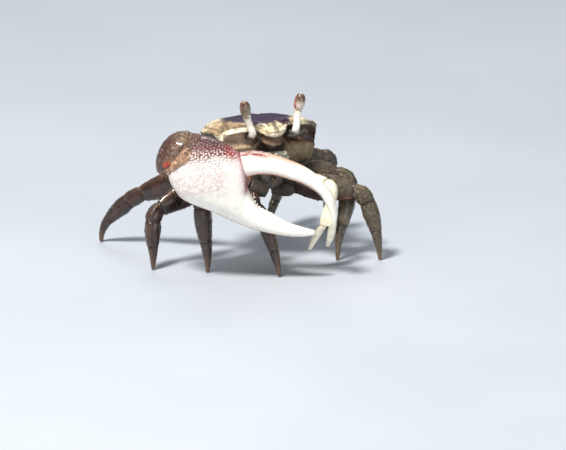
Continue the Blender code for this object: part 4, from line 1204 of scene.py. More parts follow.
def make_mouth(material):
    bristle = bristle_material("bristle_paint", (0.4, 0.6))
    draw = random.Random(3)
    pebbly = shell_material("door_paint", gloss=(0.16, 0.34), coat=0.7, pebble=(0.3, 0.05))
    for word, side in SIDES.items():

        def relief(s, t, point, normal, side=side):
            x, _, z = world_to_body(point)
            groove = bell(side * x, 2.0, 0.14) + bell(z, -8.9, 0.13)
            pebbles = lumpy(point, 0.42, 4.0, 0.0, 0.5) * ramp(z, -8.5, -7.0)
            return -0.12 * min(groove, 1.0) + 0.14 * pebbles
        piece = skin(f"mouth_plate_{word}", door_rings(side), pebbly, along=10, around=5, relief=relief)

        def colour(point, s, t, normal):
            top = ramp(world_to_body(point)[2], -8.0, -6.8)
            blot = 0.5 + rough_grain(point, 0.9, 2.0)
            return layered(tone(136, 142, 124), (tone(104, 94, 76), blot),
                           # Painted highlights: pale spots on the tops of the pebbles.
                           (PALE_CREAM, lumpy(point, 0.42, 4.0, -0.05, 0.3) * 0.9 * top),
                           # The lower part is painted dark: partly dark wet mud, partly painted shade under the great
                           # claw.
                           (blend(tone(62, 48, 38), tone(32, 25, 21), blot), 0.9 * (1 - top)))
        stand_in(paint(piece, colour), "underside", f"mouth_door_{word}")
        roots = []
        for _ in range(FRINGE_BRISTLES):
            height, across = draw.uniform(-11.0, -6.4), draw.uniform(0.2, 0.5)
            spot = body_to_world((side * across, -0.35, height))
            way = body_way((0, -1, -0.3)).normalized()
            lean = Vector((draw.uniform(-0.3, 0.3), 0, draw.uniform(-0.4, 0.1)))
            roots.append((spot, (way + lean).normalized(), draw.uniform(0.35, 0.7), Vector((0, 0, -0.08)),
                          (0.5 + 0.6 * side * across, (height + 12.0) / 7.0)))
        fringe = hairs(f"mouth_fringe_{word}", roots, bristle)
        stand_in(paint(fringe, plain(blend(DARK_MUD_AND_SHADE, BROWN, 0.4))), "underside")
        piece = skin(f"feeler_{word}", antenna_rings(side), material, along=12, around=2,
                     relief=lambda s, t, p, n: -0.035 * (0.5 + 0.5 * math.cos(s * 2 * math.pi * 14)) * (1 - s))
        stand_in(paint(piece, lambda p, s, t, n: blend(BLACK_BROWN, DARK_MUD_AND_SHADE, s)), "underside", f"antenna_{word}")


# Eyes

def make_eyes():
    white = shell_material("stalk_paint", gloss=(0.22, 0.4), coat=0.4, mottle=(0.94, 1.04),
                           bumps=((0.5, 0.02), (0.12, 0.005)), soft=0.15)
    cornea = shell_material("cornea_paint", gloss=(0.1, 0.18), coat=1.0, film=0.05, mottle=(0.8, 1.15), mottle_size=0.5,
                            bumps=((0.5, 0.01),), pebble=(0.06, 0.003))
    for word, side in SIDES.items():
        stalk_shape, eye_shape = eye_rings(word)

        def stalk_relief(s, t, point, normal):
            return 0.025 * rough_grain(point, 0.7, 2.0) - 0.05 * bell(s, 0.42, 0.02)
        stalk = skin(f"stalk_{word}", stalk_shape, white, along=7, around=3, relief=stalk_relief, crown=0.25)

        def stalk_colour(point, s, t, normal):
            return layered(WHITE, (PALE_CREAM, 0.4 + 0.6 * rough_grain(point, 0.9, 3.0)),
                           (tone(206, 120, 96), 0.5 * ramp(s, 0.86, 1.0) * ramp(-normal.x, -0.1, 0.8)),
                           # Painted shade: the stalk's foot, down in its socket, is painted dark.
                           (DARK_MUD_AND_SHADE, 0.92 * (1 - ramp(s, 0.36, 0.46))))
        stand_in(paint(stalk, stalk_colour), "eyestalk", f"eyestalk_{word}")
        ball = skin(f"cornea_{word}", eye_shape, cornea, along=9, around=4, crown=0.1)

        def eye_colour(point, s, t, normal, side=side):
            blot = rough_grain(point, 0.8, 4.0)
            red = ramp(-0.866 * normal.x + 0.5 * normal.y + 0.25 * blot, 0.55, 0.9)
            reach = 0.1 if side > 0 else 0.0
            pale = (1 - ramp(s, 0.28 + reach / 2, 0.5 + reach)) * ramp(-normal.y, 0.1, 0.7) * (1 - red)
            return layered(tone(134, 116, 92), (tone(92, 70, 54), 0.5 + 1.2 * blot),
                           (tone(76, 48, 36), 0.75 * ramp(s, 0.5, 0.72) * (1 - ramp(s, 0.88, 0.95))),
                           (tone(150, 132, 116), 0.6 * ramp(s, 0.9, 0.97)),
                           (tone(176, 78, 42), (0.8 if side > 0 else 0.35) * red),
                           (tone(226, 208, 196) if side > 0 else tone(158, 144, 120), 0.8 * pale),
                           (tone(232, 222, 208), 0.8 * (1 - ramp(s, 0.1, 0.17))))
        stand_in(paint(ball, eye_colour), "eye", f"eye_{word}")


# Legs

LEG_BRISTLES = {"carpus": 18, "propodus": 30, "dactyl": 18}
BRISTLE_SIDES = (2, 3, 7, 8, 2, 3, 7, 8, 1, 9, 5, 0)    # points of a leg's rings that they grow at, most on the edges


def leg_colour(point, s, side, kind, dorsal):
    blot, fine = rough_grain(point, 1.5, 21.0), rough_grain(point, 0.4, 8.0)
    if side < 0:
        colour = layered(tone(58, 38, 29), (tone(27, 18, 15), 0.5 + blot),
                         (tone(88, 42, 27), ramp(grain(point, 2.2, 31.0), -0.2, 0.6) * 0.4),
                         (tone(136, 110, 86), ramp(fine + 0.3 * blot, 0.35, 0.8) * 0.45),
                         # Painted shade on the undersides and painted light on the tops of the right legs.
                         (tone(28, 20, 18), 0.5 * ramp(-dorsal, 0.2, 1.0)),
                         (tone(104, 80, 62), 0.3 * ramp(dorsal, 0.4, 0.95)))
    else:
        colour = layered(tone(100, 88, 72), (tone(60, 50, 42), 0.5 + 1.1 * blot),
                         (tone(140, 126, 106), ramp(fine + 0.4 * blot, 0.15, 0.65) * 0.6),
                         (tone(40, 30, 26), ramp(grain(point, 1.6, 33.0), 0.05, 0.5) * 0.55),
                         (tone(88, 90, 74), ramp(grain(point, 2.6, 3.0), 0.1, 0.6) * 0.35),
                         (tone(84, 72, 54), 0.6 * (kind in ("propodus", "dactyl"))))
    if kind == "merus":
        # The merus's dark red-brown underside is partly its own colour and partly painted shade; on the left legs near
        # the middle it reaches over the front face as the great claw's painted shadow.
        start = 0.1 - 0.7 * (1 - ramp(point[0], 7.0, 9.5)) if side > 0 else 0.5
        under = tone(62, 28, 21) if side > 0 else tone(74, 32, 24)
        colour = layered(colour, (under, 0.75 * ramp(-dorsal, start, start + 0.5)),
                         (tone(190, 142, 122), 0.5 * ramp(s, 0.72, 0.95) * bell(dorsal, -0.8, 0.25) * (side > 0)))
    if kind == "dactyl":
        colour = blend(colour, tone(120, 94, 66), 0.45 * ramp(s, 0.3, 0.95))
    ends = max(1 - ramp(s, 0.0, 0.05), ramp(s, 0.96, 1.0))
    return blend(colour, tone(40, 26, 21), 0.4 * ends * (kind != "dactyl" or s < 0.5))


def leg_relief(s, point, side, kind, dorsal):
    """Ridges along a piece, small teeth on the edges of the broad one, and mud on the left side."""
    push = 0.04 * rough_grain(point, 0.8, 14.0) + 0.02 * rough_grain(point, 0.3, 2.0)
    if side > 0:
        coarse = 1.0 if kind in ("merus", "carpus") else 0.4
        push += coarse * (0.15 * rough_grain(point, 1.3, 41.0) + 0.1 * lumpy(point, 0.45, 5.0, 0.0, 0.5))
    else:
        push += 0.06 * lumpy(point, 0.5, 15.0, 0.1, 0.5)
    if kind == "merus":
        push += 0.08 * ramp(dorsal, 0.9, 1.0) * ridges(s, 17)
        push += 0.12 * ramp(-dorsal, 0.9, 1.0) * ridges(s, 13)
        push -= 0.1 * bell(dorsal, 0.55, 0.12) * ramp(s, 0.1, 0.3) * (1 - ramp(s, 0.8, 0.95))
    elif kind == "carpus":
        push += 0.1 * bell(dorsal, 0.72, 0.12) - 0.1 * bell(dorsal, 0.4, 0.12)
    elif kind == "propodus":
        push += 0.09 * bell(dorsal, 0.62, 0.12) - 0.1 * bell(dorsal, 0.3, 0.14)
    else:
        push += 0.07 * (bell(dorsal, 0.5, 0.16) + bell(dorsal, -0.5, 0.16)) * (1 - s) - 0.05 * bell(dorsal, 0, 0.2)
    return push - 0.04 * bell(s, 0.0, 0.02) - 0.04 * bell(s, 1.0, 0.02) * (kind != "dactyl")


def joint_sleeve(name, rings_before, rings_after, material, fullness=0.965):
    """The soft skin that closes the gap between two pieces of a limb."""
    def shrunk(ring, amount, way):
        middle = middle_of(ring)
        return [middle + (p - middle) * amount + way for p in ring]
    before, after = rings_before[-1], rings_after[0]
    way = (middle_of(after) - middle_of(before)).normalized()
    after = align_ring(after, before)
    rings = [shrunk(before, fullness - 0.12, -way * 0.5), shrunk(before, fullness, way * 0.02),
             shrunk(after, fullness, -way * 0.02), shrunk(after, fullness - 0.12, way * 0.5)]
    return skin(name, rings, material, along=4, around=2,
                relief=lambda s, t, p, n: 0.02 * math.cos(s * 2 * math.pi * 5))


def leg_joint_colour(point, s, t, normal):
    pale, dark = (tone(82, 70, 58), tone(48, 38, 32)) if point[0] > 0 else (tone(54, 38, 31), tone(28, 20, 18))
    return blend(pale, dark, 0.5 + rough_grain(point, 0.5, 3.0))


def make_legs(sleeve_material):
    dark = shell_material("dark_leg_paint", gloss=(0.16, 0.36), coat=0.7, mottle=(0.7, 1.15), mottle_size=0.9,
                          speck=(0.35, tone(128, 102, 80), 0.4), bumps=((0.6, 0.12), (0.2, 0.04)), specular=0.35,
                          film=0.06)
    muddy = shell_material("muddy_leg_paint", gloss=(0.4, 0.65), coat=0.12, mottle=(0.7, 1.15), mottle_size=0.8,
                           speck=(0.35, PALE_MUD, 0.4), bumps=((0.5, 0.1), (0.16, 0.04)), pebble=(0.36, 0.07),
                           specular=0.3)
    wet = shell_material("wet_leg_paint", gloss=(0.18, 0.38), coat=0.6, mottle=(0.74, 1.12), mottle_size=0.8,
                         speck=(0.35, PALE_MUD, 0.35), bumps=((0.5, 0.1), (0.18, 0.03)), specular=0.35, film=0.06)
    bristle = bristle_material("leg_bristle_paint")
    draw = random.Random(11)
    for name, settings in LEGS.items():
        side = settings[0]
        found = leg_rings(settings)
        roots = []
        for kind, rings in found.items():
            material = dark if side < 0 else (muddy if kind in ("merus", "carpus") else wet)

            def relief(s, t, point, normal, kind=kind, side=side):
                return leg_relief(s, point, side, kind, math.sin(2 * math.pi * t) * side)

            def colour(point, s, t, normal, kind=kind, side=side):
                return leg_colour(point, s, side, kind, math.sin(2 * math.pi * t) * side)
            piece = skin(f"{name}_{kind}_shell", rings, material, along=8, around=5, relief=relief,
                         crown=0.1 if kind != "dactyl" else 0.0)
            stand_in(paint(piece, colour), "leg", f"{name}_{kind}")
            if kind != "merus":
                roots += leg_bristles(draw, kind, rings, list(found).index(kind) / len(found))
        tuft = hairs(f"{name}_bristles", roots, bristle)
        stand_in(paint(tuft, plain(blend(tone(84, 62, 48), TAN, 0.2))), "leg")
        chain = [("hip", leg_root(settings)), *found.items()]
        for (before, rings_a), (_, rings_b) in zip(chain, chain[1:]):
            sleeve = joint_sleeve(f"{name}_{before}_joint", rings_a, rings_b, sleeve_material)
            stand_in(paint(sleeve, leg_joint_colour), "leg")


def leg_bristles(draw, kind, rings, place):
    """Bristles along a piece of a leg, which starts at a place from 0 to 1 on the map of its skin."""
    roots = []
    for _ in range(LEG_BRISTLES[kind]):
        share = draw.uniform(0.08, 0.92) * (len(rings) - 1)
        k = min(int(share), len(rings) - 2)
        j = draw.choice(BRISTLE_SIDES)
        spot = rings[k][j].lerp(rings[k + 1][j], share - k)
        ahead = (rings[k + 1][j] - rings[k][j]).normalized()
        way = ((spot - middle_of(rings[k])).normalized() + ahead * draw.uniform(1.0, 1.8)).normalized()
        length = draw.uniform(0.25, 0.5) * (0.75 if kind == "dactyl" else 1.0)
        if (spot + way * length).z > 0.1:
            run = place + 0.24 * share / (len(rings) - 1)
            roots.append((spot, way, length, Vector((0, 0, -0.05)), (run, j / len(rings[0]))))
    return roots


# Great claw

KNOB_ROWS = 20
KNOB_LEVELS = (0.97, 0.066)             # level of the first row of knobs, and the drop from one row to the next
KNOB_RUN = (0.5, 0.16, 5.9, 0.065)      # start of a row, stagger, end, and how much sooner each row ends
KNOB_SPACING = 0.62
BEAD_TRIES, BEAD_SPACING = 2500, 0.3    # spots tried on the wrist, and how near to each other beads may be

# Places along the claw, and how high the palm's dark top begins there
PALM_BORDER = ((-14.0, -9.7, -6.0), (21.85, 22.6, 22.5))

# Heights, and how far along the claw the palm's borders with the wrist and the finger lie there
WRIST_BORDER = ((19.0, 19.9, 20.2, 20.9, 21.4, 22.4, 23.8, 24.4, 25.3, 26.4),
                (-18.1, -17.5, -16.9, -15.9, -14.9, -14.3, -14.2, -13.7, -12.8, -12.2))
FINGER_JOINT = ((15.0, 16.3, 17.8, 20.7, 22.0, 24.6), (-4.35, -4.3, -4.4, -5.05, -5.4, -6.0))


def number_on(table, place):
    """Where a border lies at a place, from a table of places and a table of borders."""
    return float(np.interp(place, *table))


def wrist_gap(point, along, height):
    """How far a point lies outside the palm's border, on a line made uneven by grain."""
    return number_on(WRIST_BORDER, height) - along + 0.7 * rough_grain(point, 1.7, 8.0)


def beyond_wrist(point, along, height):
    """How far a point lies on the wrist's side of the palm's lumpy border, from none to 1."""
    border = number_on(WRIST_BORDER, height) + 0.35 * rough_grain(point, 0.9, 61.0)
    return (1 - ramp(along, border - 0.12, border + 0.2)) * ramp(height, 18.9, 19.4)


def palm_relief(s, t, point, normal):
    along, height, reach = world_to_claw(point)
    outer = ramp(reach - CLAW_REACH, -0.6, 0.6)
    upper = ramp(height, 21.8, 22.6)
    push = 0.035 * rough_grain(point, 0.9, 3.0)
    push += 0.06 * outer * upper * (1 - ramp(along, -7.5, -6.0)) * rough_grain(point, 0.45, 9.0)
    lumps = beyond_wrist(point, along, height)
    push += lumps * (0.1 + 0.2 * lumpy(point, 0.75, 27.0, -0.1, 0.5))
    push -= 0.05 * outer * palm_wrinkles(along, height) * (1 - lumps) * cracks(point, 0.8, 17.0, 0.14)
    crease = bell(height, 21.9 - 0.05 * (along + 10), 0.2) * (1 - ramp(along, -7.2, -6.4)) * ramp(along, -14.5, -13.5)
    push -= 0.07 * outer * crease
    push -= gape_dip(along) * ramp(normal[2], 0.2, 0.8) * (1 - ramp(height, 15.6, 16.6))
    edge = number_on(FINGER_JOINT, height) - along
    return push + 0.12 * bell(edge, 0.35, 0.3) * ramp(height, 15.5, 17.0)


def gape_dip(along):
    """How far the palm's gape edge dips at a place along the claw."""
    return 0.55 * bell(along, -2.1, 1.5)


def palm_wrinkles(along, height):
    """Where the fine wrinkles of the palm show, from none to 1."""
    spread = ramp(height, 14.4, 17.0) * (1 - 0.6 * ramp(along, -10.0, -5.5))
    rim = (1 - ramp(along, -16.4, -14.4)) * ramp(height - palm_low(along), 0.2, 0.6)
    return max(spread, 0.9 * rim) * (1 - ramp(height, 22.0, 22.8))


def palm_colour(point, s, t, normal):
    along, height, reach = world_to_claw(point)
    blot, fine = rough_grain(point, 1.5, 13.0), rough_grain(point, 0.45, 4.0)
    veins = palm_wrinkles(along, height)
    border = number_on(PALM_BORDER, along) + 0.35 * blot + 0.45 * fine
    top = ramp(height, border - 0.7, border + 0.7)
    dark = layered(tone(92, 60, 58), (tone(112, 56, 60), 0.5 + 0.9 * blot),
                   (tone(136, 98, 82), 0.55 * (1 - ramp(along, -13.0, -10.0)) * (1 - ramp(height, 23.4, 24.4))),
                   (tone(70, 50, 50), 0.7 * ramp(height, 24.2, 24.9)))
    red = bell(along, -6.9, 1.3) * bell(height, 23.0, 1.1)
    edge = number_on(FINGER_JOINT, height) - along
    shade = bell(edge, 0.2, 0.75) * ramp(height, 15.2, 16.6)
    rim = bell(edge, 0.15, 0.34) * ramp(height, 15.6, 16.6)
    inner = ramp(CLAW_REACH - reach, 0.2, 1.2)
    lower = 1 - ramp(height - palm_low(along), 0.05, 0.5)
    tan = layered(tone(182, 148, 120), (tone(92, 68, 56), 0.45 + 1.3 * fine),
                  (tone(96, 70, 62), ramp(height, 23.4, 24.6)))
    over = beyond_wrist(point, along, height)
    colour = layered(WHITE, (PALE_CREAM, 0.25 + 0.4 * blot),
                     (ROSE, 0.22 * veins + 0.2 * max(blot, 0.0) * veins),
                     (dark, top * (1 - ramp(along, -5.2, -4.6))),
                     (tone(150, 58, 52), 0.85 * red),
                     (tone(196, 142, 166), shade * (0.45 + 0.3 * fine)),
                     (tone(150, 62, 76), rim * (0.25 + 0.65 * bell(height, 17.2, 1.2) + 0.3 * fine)),
                     (blend(PALE_CREAM, ROSE, 0.4 + 0.5 * blot), 0.55 * inner * (1 - top)),
                     (tone(232, 160, 108), 0.7 * lower * (1 - ramp(along, 2.0, 5.0))),
                     (tan, over))
    return colour, veins * (1 - top) * (1 - inner) * (1 - over)


def palm_low(along):
    """Height of the palm's lower edge at a place along the claw."""
    for (a, low), (b, high) in zip(PALM_LOWER, PALM_LOWER[1:]):
        if a <= along <= b:
            return low + (high - low) * (along - a) / (b - a)
    return PALM_LOWER[0][1] if along < PALM_LOWER[0][0] else PALM_LOWER[-1][1]


def finger_colour(point, s, t, normal):
    along = world_to_claw(point)[0]
    red = (1 - ramp(along, -2.2, 1.6)) * ramp(normal.z, 0.4, 0.85) * (0.85 + 0.5 * rough_grain(point, 0.4, 12.0))
    ridge = ramp(normal.z, 0.6, 0.95) * ramp(along, -2.0, 1.0) * (1 - ramp(along, 3.0, 8.0))
    lower = ramp(-normal.z, 0.35, 0.8) * (1 - ramp(along, 7.0, 10.0))
    return layered(WHITE, (PALE_CREAM, 0.25 + 0.4 * rough_grain(point, 2.0, 23.0)),
                   (tone(126, 42, 32), red),
                   (tone(206, 122, 72), 0.6 * ridge),
                   (tone(214, 124, 76), 0.65 * lower),
                   (tone(196, 140, 140), 0.35 * (1 - ramp(along, -5.2, -4.6)))), 0.0


def palm_tubercles():
    """Close rows of round knobs over the palm's upper outer face, and smaller ones scattered below them."""
    draw = random.Random(21)
    top, _, knuckle_normal = knuckle_plane()
    places = []
    first, stagger, last, shorter = KNOB_RUN
    for row in range(KNOB_ROWS):
        level = KNOB_LEVELS[0] - KNOB_LEVELS[1] * row
        place = first + stagger * (row % 2)
        while place < last - shorter * row:
            jitter = draw.uniform(-0.025, 0.025)
            spot, normal = claw_surface(*PALM, place, min(level + jitter, 0.99))
            along, height, _ = world_to_claw(spot)
            strong = ramp(height, 20.3, 22.4)
            radius = (0.09 + 0.1 * strong * (1 - 0.4 * ramp(height, 23.9, 24.9))) * draw.uniform(0.85, 1.3)
            sparse = draw.random() < 0.1 + 0.9 * strong
            clear = beyond_wrist(spot, along + 0.25, height) < 0.5
            if (top - spot).dot(knuckle_normal) > 0.5 and height > 19.5 and sparse and clear:
                places.append((spot - normal * 0.04, normal, radius, radius * 0.8))
            ahead = claw_surface(*PALM, place + 0.1, level)[0]
            place += 0.1 * KNOB_SPACING * draw.uniform(0.85, 1.2) / (ahead - spot).length
    return places


def teeth_places(edge, other, settings, extra, size, dip=None):
    """Rounded teeth along a finger's gape edge, larger ones where the solids have them and small ones between."""
    first, last, count = settings
    draw = random.Random(8)
    _, toward, _ = claw_axes()
    places = []

    def on_edge(place):
        here, across = claw_to_world(*catmull(edge, place)), claw_to_world(*catmull(other, place))
        inward = (across - here).normalized()
        return here + inward * (dip(world_to_claw(here)[0]) if dip else 0.0), inward
    for k in range(count):
        here, inward = on_edge(first + (last - first) * k / (count - 1))
        radius = size * TOOTH_RADIUS * draw.uniform(0.8, 1.15) * (1.0 - 0.35 * k / count)
        places.append((here + inward * radius * 0.35, -inward, radius * 0.9, radius * 0.6))
    for k in range(extra):
        here, inward = on_edge(first - 0.4 + (last - first + 0.8) * k / (extra - 1))
        for side in (-0.32, 0.32):
            radius = 0.13 * draw.uniform(0.8, 1.2)
            places.append((here + inward * 0.08 + toward * side, -inward, radius, radius * 0.6))
    return places


def knuckle_cut(piece):
    """Takes the room for the moving finger out of the palm, as the solid has it."""
    top, low, across = knuckle_plane()
    _, toward, _ = claw_axes()
    corners = [low, low + across * KNUCKLE_ROOM, top + across * KNUCKLE_ROOM, top]
    shape = bmesh.new()
    near, far = [[shape.verts.new((p + toward * KNUCKLE_ROOM * side + SHIFT) * MM) for p in corners]
                 for side in (1, -1)]
    shape.faces.new(near)
    shape.faces.new(far[::-1])
    for k in range(4):
        n = (k + 1) % 4
        shape.faces.new((near[k], far[k], far[n], near[n]))
    bmesh.ops.recalc_face_normals(shape, faces=shape.faces)
    mesh = bpy.data.meshes.new("knuckle_room")
    shape.to_mesh(mesh)
    shape.free()
    cutter = bpy.data.objects.new("knuckle_room", mesh)
    bpy.context.scene.collection.objects.link(cutter)
    cut = piece.modifiers.new("knuckle", "BOOLEAN")
    cut.operation = "DIFFERENCE"
    cut.solver = "EXACT"
    cut.object = cutter
    trimmed = bpy.data.meshes.new_from_object(piece.evaluated_get(bpy.context.evaluated_depsgraph_get()))
    piece.modifiers.remove(cut)
    piece.data = trimmed
    bpy.data.objects.remove(cutter, do_unlink=True)


def make_great_claw(sleeve_material):
    ivory = shell_material("palm_paint", gloss=(0.2, 0.4), coat=0.45, mottle=(0.95, 1.03), mottle_size=1.2,
                           bumps=((0.5, 0.03), (0.14, 0.01)), veins=(0.62, tone(196, 172, 172), 0.7, 0.075, 0.05),
                           soft=0.06)
    smooth = shell_material("finger_paint", gloss=(0.16, 0.3), coat=0.45, mottle=(0.97, 1.02), mottle_size=2.0,
                            bumps=((1.2, 0.02), (0.12, 0.004)), soft=0.08)
    palm = skin("great_palm_base", claw_rings(*PALM), ivory, along=1, around=1, relief=palm_relief)
    knuckle_cut(palm)
    paint(palm, palm_colour)

    def knob_colour(point, s, t, normal):
        along, height, _ = world_to_claw(point)
        base, _ = palm_colour(point, s, t, normal)
        # The knobs are painted pinkish white, partly their own pale colour and partly painted highlight; painted shade
        # dims them high up the palm, and they are dimmer in its red patch.
        paleness_and_light = 1 - 0.8 * ramp(height, 22.9, 24.2)
        paleness_and_light *= 1 - 0.75 * bell(along, -7.0, 1.1) * ramp(height, 21.6, 22.4)
        return blend(base, tone(246, 226, 222), 0.8 * paleness_and_light)
    knobs = paint(domes("palm_knobs", palm_tubercles(), ivory), knob_colour)
    ivory_tooth = plain(blend(WHITE, PALE_CREAM, 0.3))
    places = teeth_places(PALM_UPPER, PALM_LOWER, PALM_TEETH, 22, 0.6, gape_dip)
    teeth = paint(domes("palm_teeth", places, ivory, 7, 14), ivory_tooth)
    stand_in(join_pieces("great_palm_shell", [palm, knobs, teeth], ivory), "great_claw", "great_claw_palm")

    def groove(s, t, point, normal):
        return 0.03 * rough_grain(point, 1.6, 7.0) \
            - 0.1 * bell(t, 0.12, 0.025) * ramp(s, 0.12, 0.3) * (1 - ramp(s, 0.7, 0.95))
    finger = skin("great_finger_base", claw_rings(*FINGER), smooth, along=1, around=1, relief=groove)
    paint(finger, finger_colour)
    places = teeth_places(FINGER_INNER, FINGER_OUTER, FINGER_TEETH, 30, 0.75)
    bite = paint(domes("finger_teeth", places, smooth, 7, 14), ivory_tooth)
    stand_in(join_pieces("great_finger_shell", [finger, bite], smooth), "great_claw", "great_claw_finger")
    make_knuckle(sleeve_material)
    make_wrist()
    make_arm()


def knuckle_colour(point, s, t, normal):
    _, height, _ = world_to_claw(point)
    return layered(finger_colour(point, s, t, normal)[0], (tone(214, 168, 160), 0.25),
                   (tone(130, 62, 56), ramp(height, 21.4, 22.4)), (tone(104, 40, 40), 0.9 * bell(s, 0.4, 0.12)))


def make_knuckle(material):
    """Soft skin that carries the moving finger's section back to the palm."""
    _, _, across = knuckle_plane()
    rings = scaled_rings(claw_rings(*FINGER)[0][::4], across,
                         ((0.6, -1.1), (0.9, -0.7), (0.97, -0.2), (0.985, 0.1), (0.8, 0.7)))
    sleeve = skin("knuckle_joint", rings, material, along=5, around=2)
    stand_in(paint(sleeve, knuckle_colour), "great_claw")


def wrist_colour(point, s, t, normal):
    along, height, reach = world_to_claw(point)
    blot, fine = rough_grain(point, 1.5, 19.0), rough_grain(point, 0.42, 6.0)
    purple = 1 - ramp(along - 0.35 * (height - 22.0) + 0.5 * blot, -18.9, -16.6)
    low = (1 - ramp(height, 21.0, 22.8)) * ramp(along, -19.4, -18.2)
    gap = wrist_gap(point, along, height)
    rim = blend(tone(174, 142, 116), tone(104, 78, 66), 0.4 + 1.2 * fine)
    spot = bell(along - 0.4 * (height - 21.0), -18.35, 0.72) * bell(height, 20.95, 0.8) * ramp(reach, 9.0, 11.0)
    return layered(tone(132, 110, 90), (tone(78, 58, 48), 0.5 + 0.9 * blot),
                   (tone(66, 36, 34), 0.85 * purple),
                   (tone(170, 146, 120), ramp(fine + 0.5 * blot, 0.15, 0.75) * 0.5 * (1 - 0.5 * purple)),
                   (tone(148, 112, 84), 0.7 * low),
                   (rim, 0.7 * (1 - ramp(gap, 1.0, 1.7))),
                   (tone(50, 26, 24), 0.5 * cracks(point, 0.8, 71.0, 0.1)),
                   # Painted shade: the crease between the wrist's cap and its lumpy rim is painted dark.
                   (tone(44, 26, 22), 0.55 * wrist_crease(point, gap)),
                   (tone(96, 44, 36), 0.5 * (1 - ramp(height, 19.0, 20.2))),
                   (blend(tone(196, 62, 28), tone(150, 48, 28), 0.5 + fine), ramp(spot + 0.5 * fine, 0.4, 0.8)))


def wrist_crease(point, gap):
    """The crease between the wrist's smooth cap and its lumpy rim, from none to 1."""
    return bell(gap + 0.3 * rough_grain(point, 0.9, 3.0), 1.6, 0.22)


def wrist_beads(rings):
    """Fine beads over the wrist's outer upper side."""
    draw = random.Random(5)
    middle = claw_to_world(*WRIST_MIDDLE)
    places = []
    for _ in range(BEAD_TRIES):
        k, j = draw.randrange(1, len(rings) - 2), draw.randrange(len(rings[0]))
        f, g = draw.random(), draw.random()
        n = (j + 1) % len(rings[0])
        quad = [rings[k][j], rings[k][n], rings[k + 1][n], rings[k + 1][j]]
        spot = quad[0].lerp(quad[1], f).lerp(quad[3].lerp(quad[2], f), g)
        normal = (quad[1] - quad[0]).cross(quad[3] - quad[0]).normalized()
        if normal.dot(spot - middle) < 0:
            normal = -normal
        along, _, reach = world_to_claw(spot)
        if along > -16.6 or reach < 8.5 or any((spot - p[0]).length < BEAD_SPACING for p in places):
            continue
        places.append((spot - normal * 0.02, normal, draw.uniform(0.09, 0.15), draw.uniform(0.06, 0.11)))
    return places


def make_wrist():
    rings, short_axis = wrist_rings()

    def relief(s, t, point, normal):
        along, height, _ = world_to_claw(point)
        gap = wrist_gap(point, along, height)
        bumps = lumpy(point, 0.55, 27.0, 0.05, 0.5)
        lumps = (1 - ramp(gap, 1.1, 1.9)) * lumpy(point, 0.8, 27.0, -0.1, 0.5)
        return 0.26 * rough_grain(point, 1.8, 5.0) + 0.07 * bumps + 0.26 * lumps - 0.14 * wrist_crease(point, gap)
    material = shell_material("wrist_paint", gloss=(0.22, 0.45), coat=0.4, mottle=(0.8, 1.15), mottle_size=0.9,
                              bumps=((0.5, 0.08), (0.15, 0.02)), pebble=(0.34, 0.05), specular=0.35, film=0.08)
    piece = skin("great_wrist_shell", rings, material, along=9, around=7, relief=relief)
    palm_edge = claw_to_world(*PALM_LOWER[0])
    slice_piece(piece, palm_edge + short_axis * JOINT_GAP, -short_axis)
    start, end = claw_to_world(*ARM_START), claw_to_world(*ARM_END)
    heading = (end - start).normalized()
    slice_piece(piece, end + heading * JOINT_GAP, -heading)
    paint(piece, wrist_colour)

    def bead_colour(point, s, t, normal):
        return blend(wrist_colour(point, s, t, normal), tone(170, 140, 122), 0.4)
    beads = paint(domes("wrist_beads", wrist_beads(rings), material, 4, 9), bead_colour)
    stand_in(join_pieces("great_wrist_shell", [piece, beads], material), "wrist", "great_claw_wrist")
    make_collar(material)


def make_collar(material):
    """Lumpy soft rim between the wrist and the palm."""
    way = (claw_to_world(*PALM_LOWER[4]) - claw_to_world(*PALM_LOWER[0])).normalized()
    rings = scaled_rings(claw_rings(*PALM)[0], way, ((0.8, -0.75), (0.97, -0.55), (1.005, -0.2), (1.02, 0.15),
                                                     (0.99, 0.45), (0.85, 0.6)))
    collar = skin("great_wrist_collar", rings, material, along=5, around=2,
                  relief=lambda s, t, p, n: 0.16 * lumpy(p, 0.7, 27.0, -0.2, 0.5) + 0.06 * rough_grain(p, 0.35, 3.0))

    def colour(point, s, t, normal):
        _, height, _ = world_to_claw(point)
        return layered(tone(200, 160, 130), (tone(96, 68, 54), 0.4 + 1.3 * rough_grain(point, 0.45, 4.0)),
                       (tone(96, 70, 62), ramp(height, 23.4, 24.6)))
    stand_in(paint(collar, colour), "wrist")


def arm_colour(point, s, t, normal):
    return layered(tone(110, 82, 66), (DARK_BROWN, 0.45 + 0.9 * rough_grain(point, 1.5, 41.0)),
                   (tone(160, 100, 78), 0.45 * ramp(normal.z, 0.3, 0.9)),
                   (TAN, 0.35 * ramp(s, 0.9, 1.0)))


def knobbed(s, t, point, normal):
    """The relief of the great arm, with a row of low knobs along its upper edge."""
    return 0.06 * rough_grain(point, 0.8, 3.0) + 0.1 * ramp(normal[2], 0.85, 1.0) * ridges(s, 16)


def make_arm():
    material = shell_material("arm_paint", gloss=(0.22, 0.45), coat=0.4, pebble=(0.4, 0.04))
    piece = skin("great_arm_shell", arm_rings(ARM_START, ARM_END, ARM_HALVES), material, along=9, around=5,
                 relief=knobbed)
    stand_in(paint(piece, arm_colour), "leg", "great_claw_arm")


# Small claw

CLAW_BRISTLES = 7       # at each ring of a finger


def small_colour(point, s, t, normal):
    return layered(tone(250, 243, 222), (tone(232, 214, 176), 0.35 + 0.9 * rough_grain(point, 1.2, 51.0)),
                   (tone(214, 216, 190), ramp(grain(point, 1.6, 5.0), 0.1, 0.6) * 0.4),
                   (TAN, lumpy(point, 0.35, 3.0, 0.35, 0.85) * 0.3))


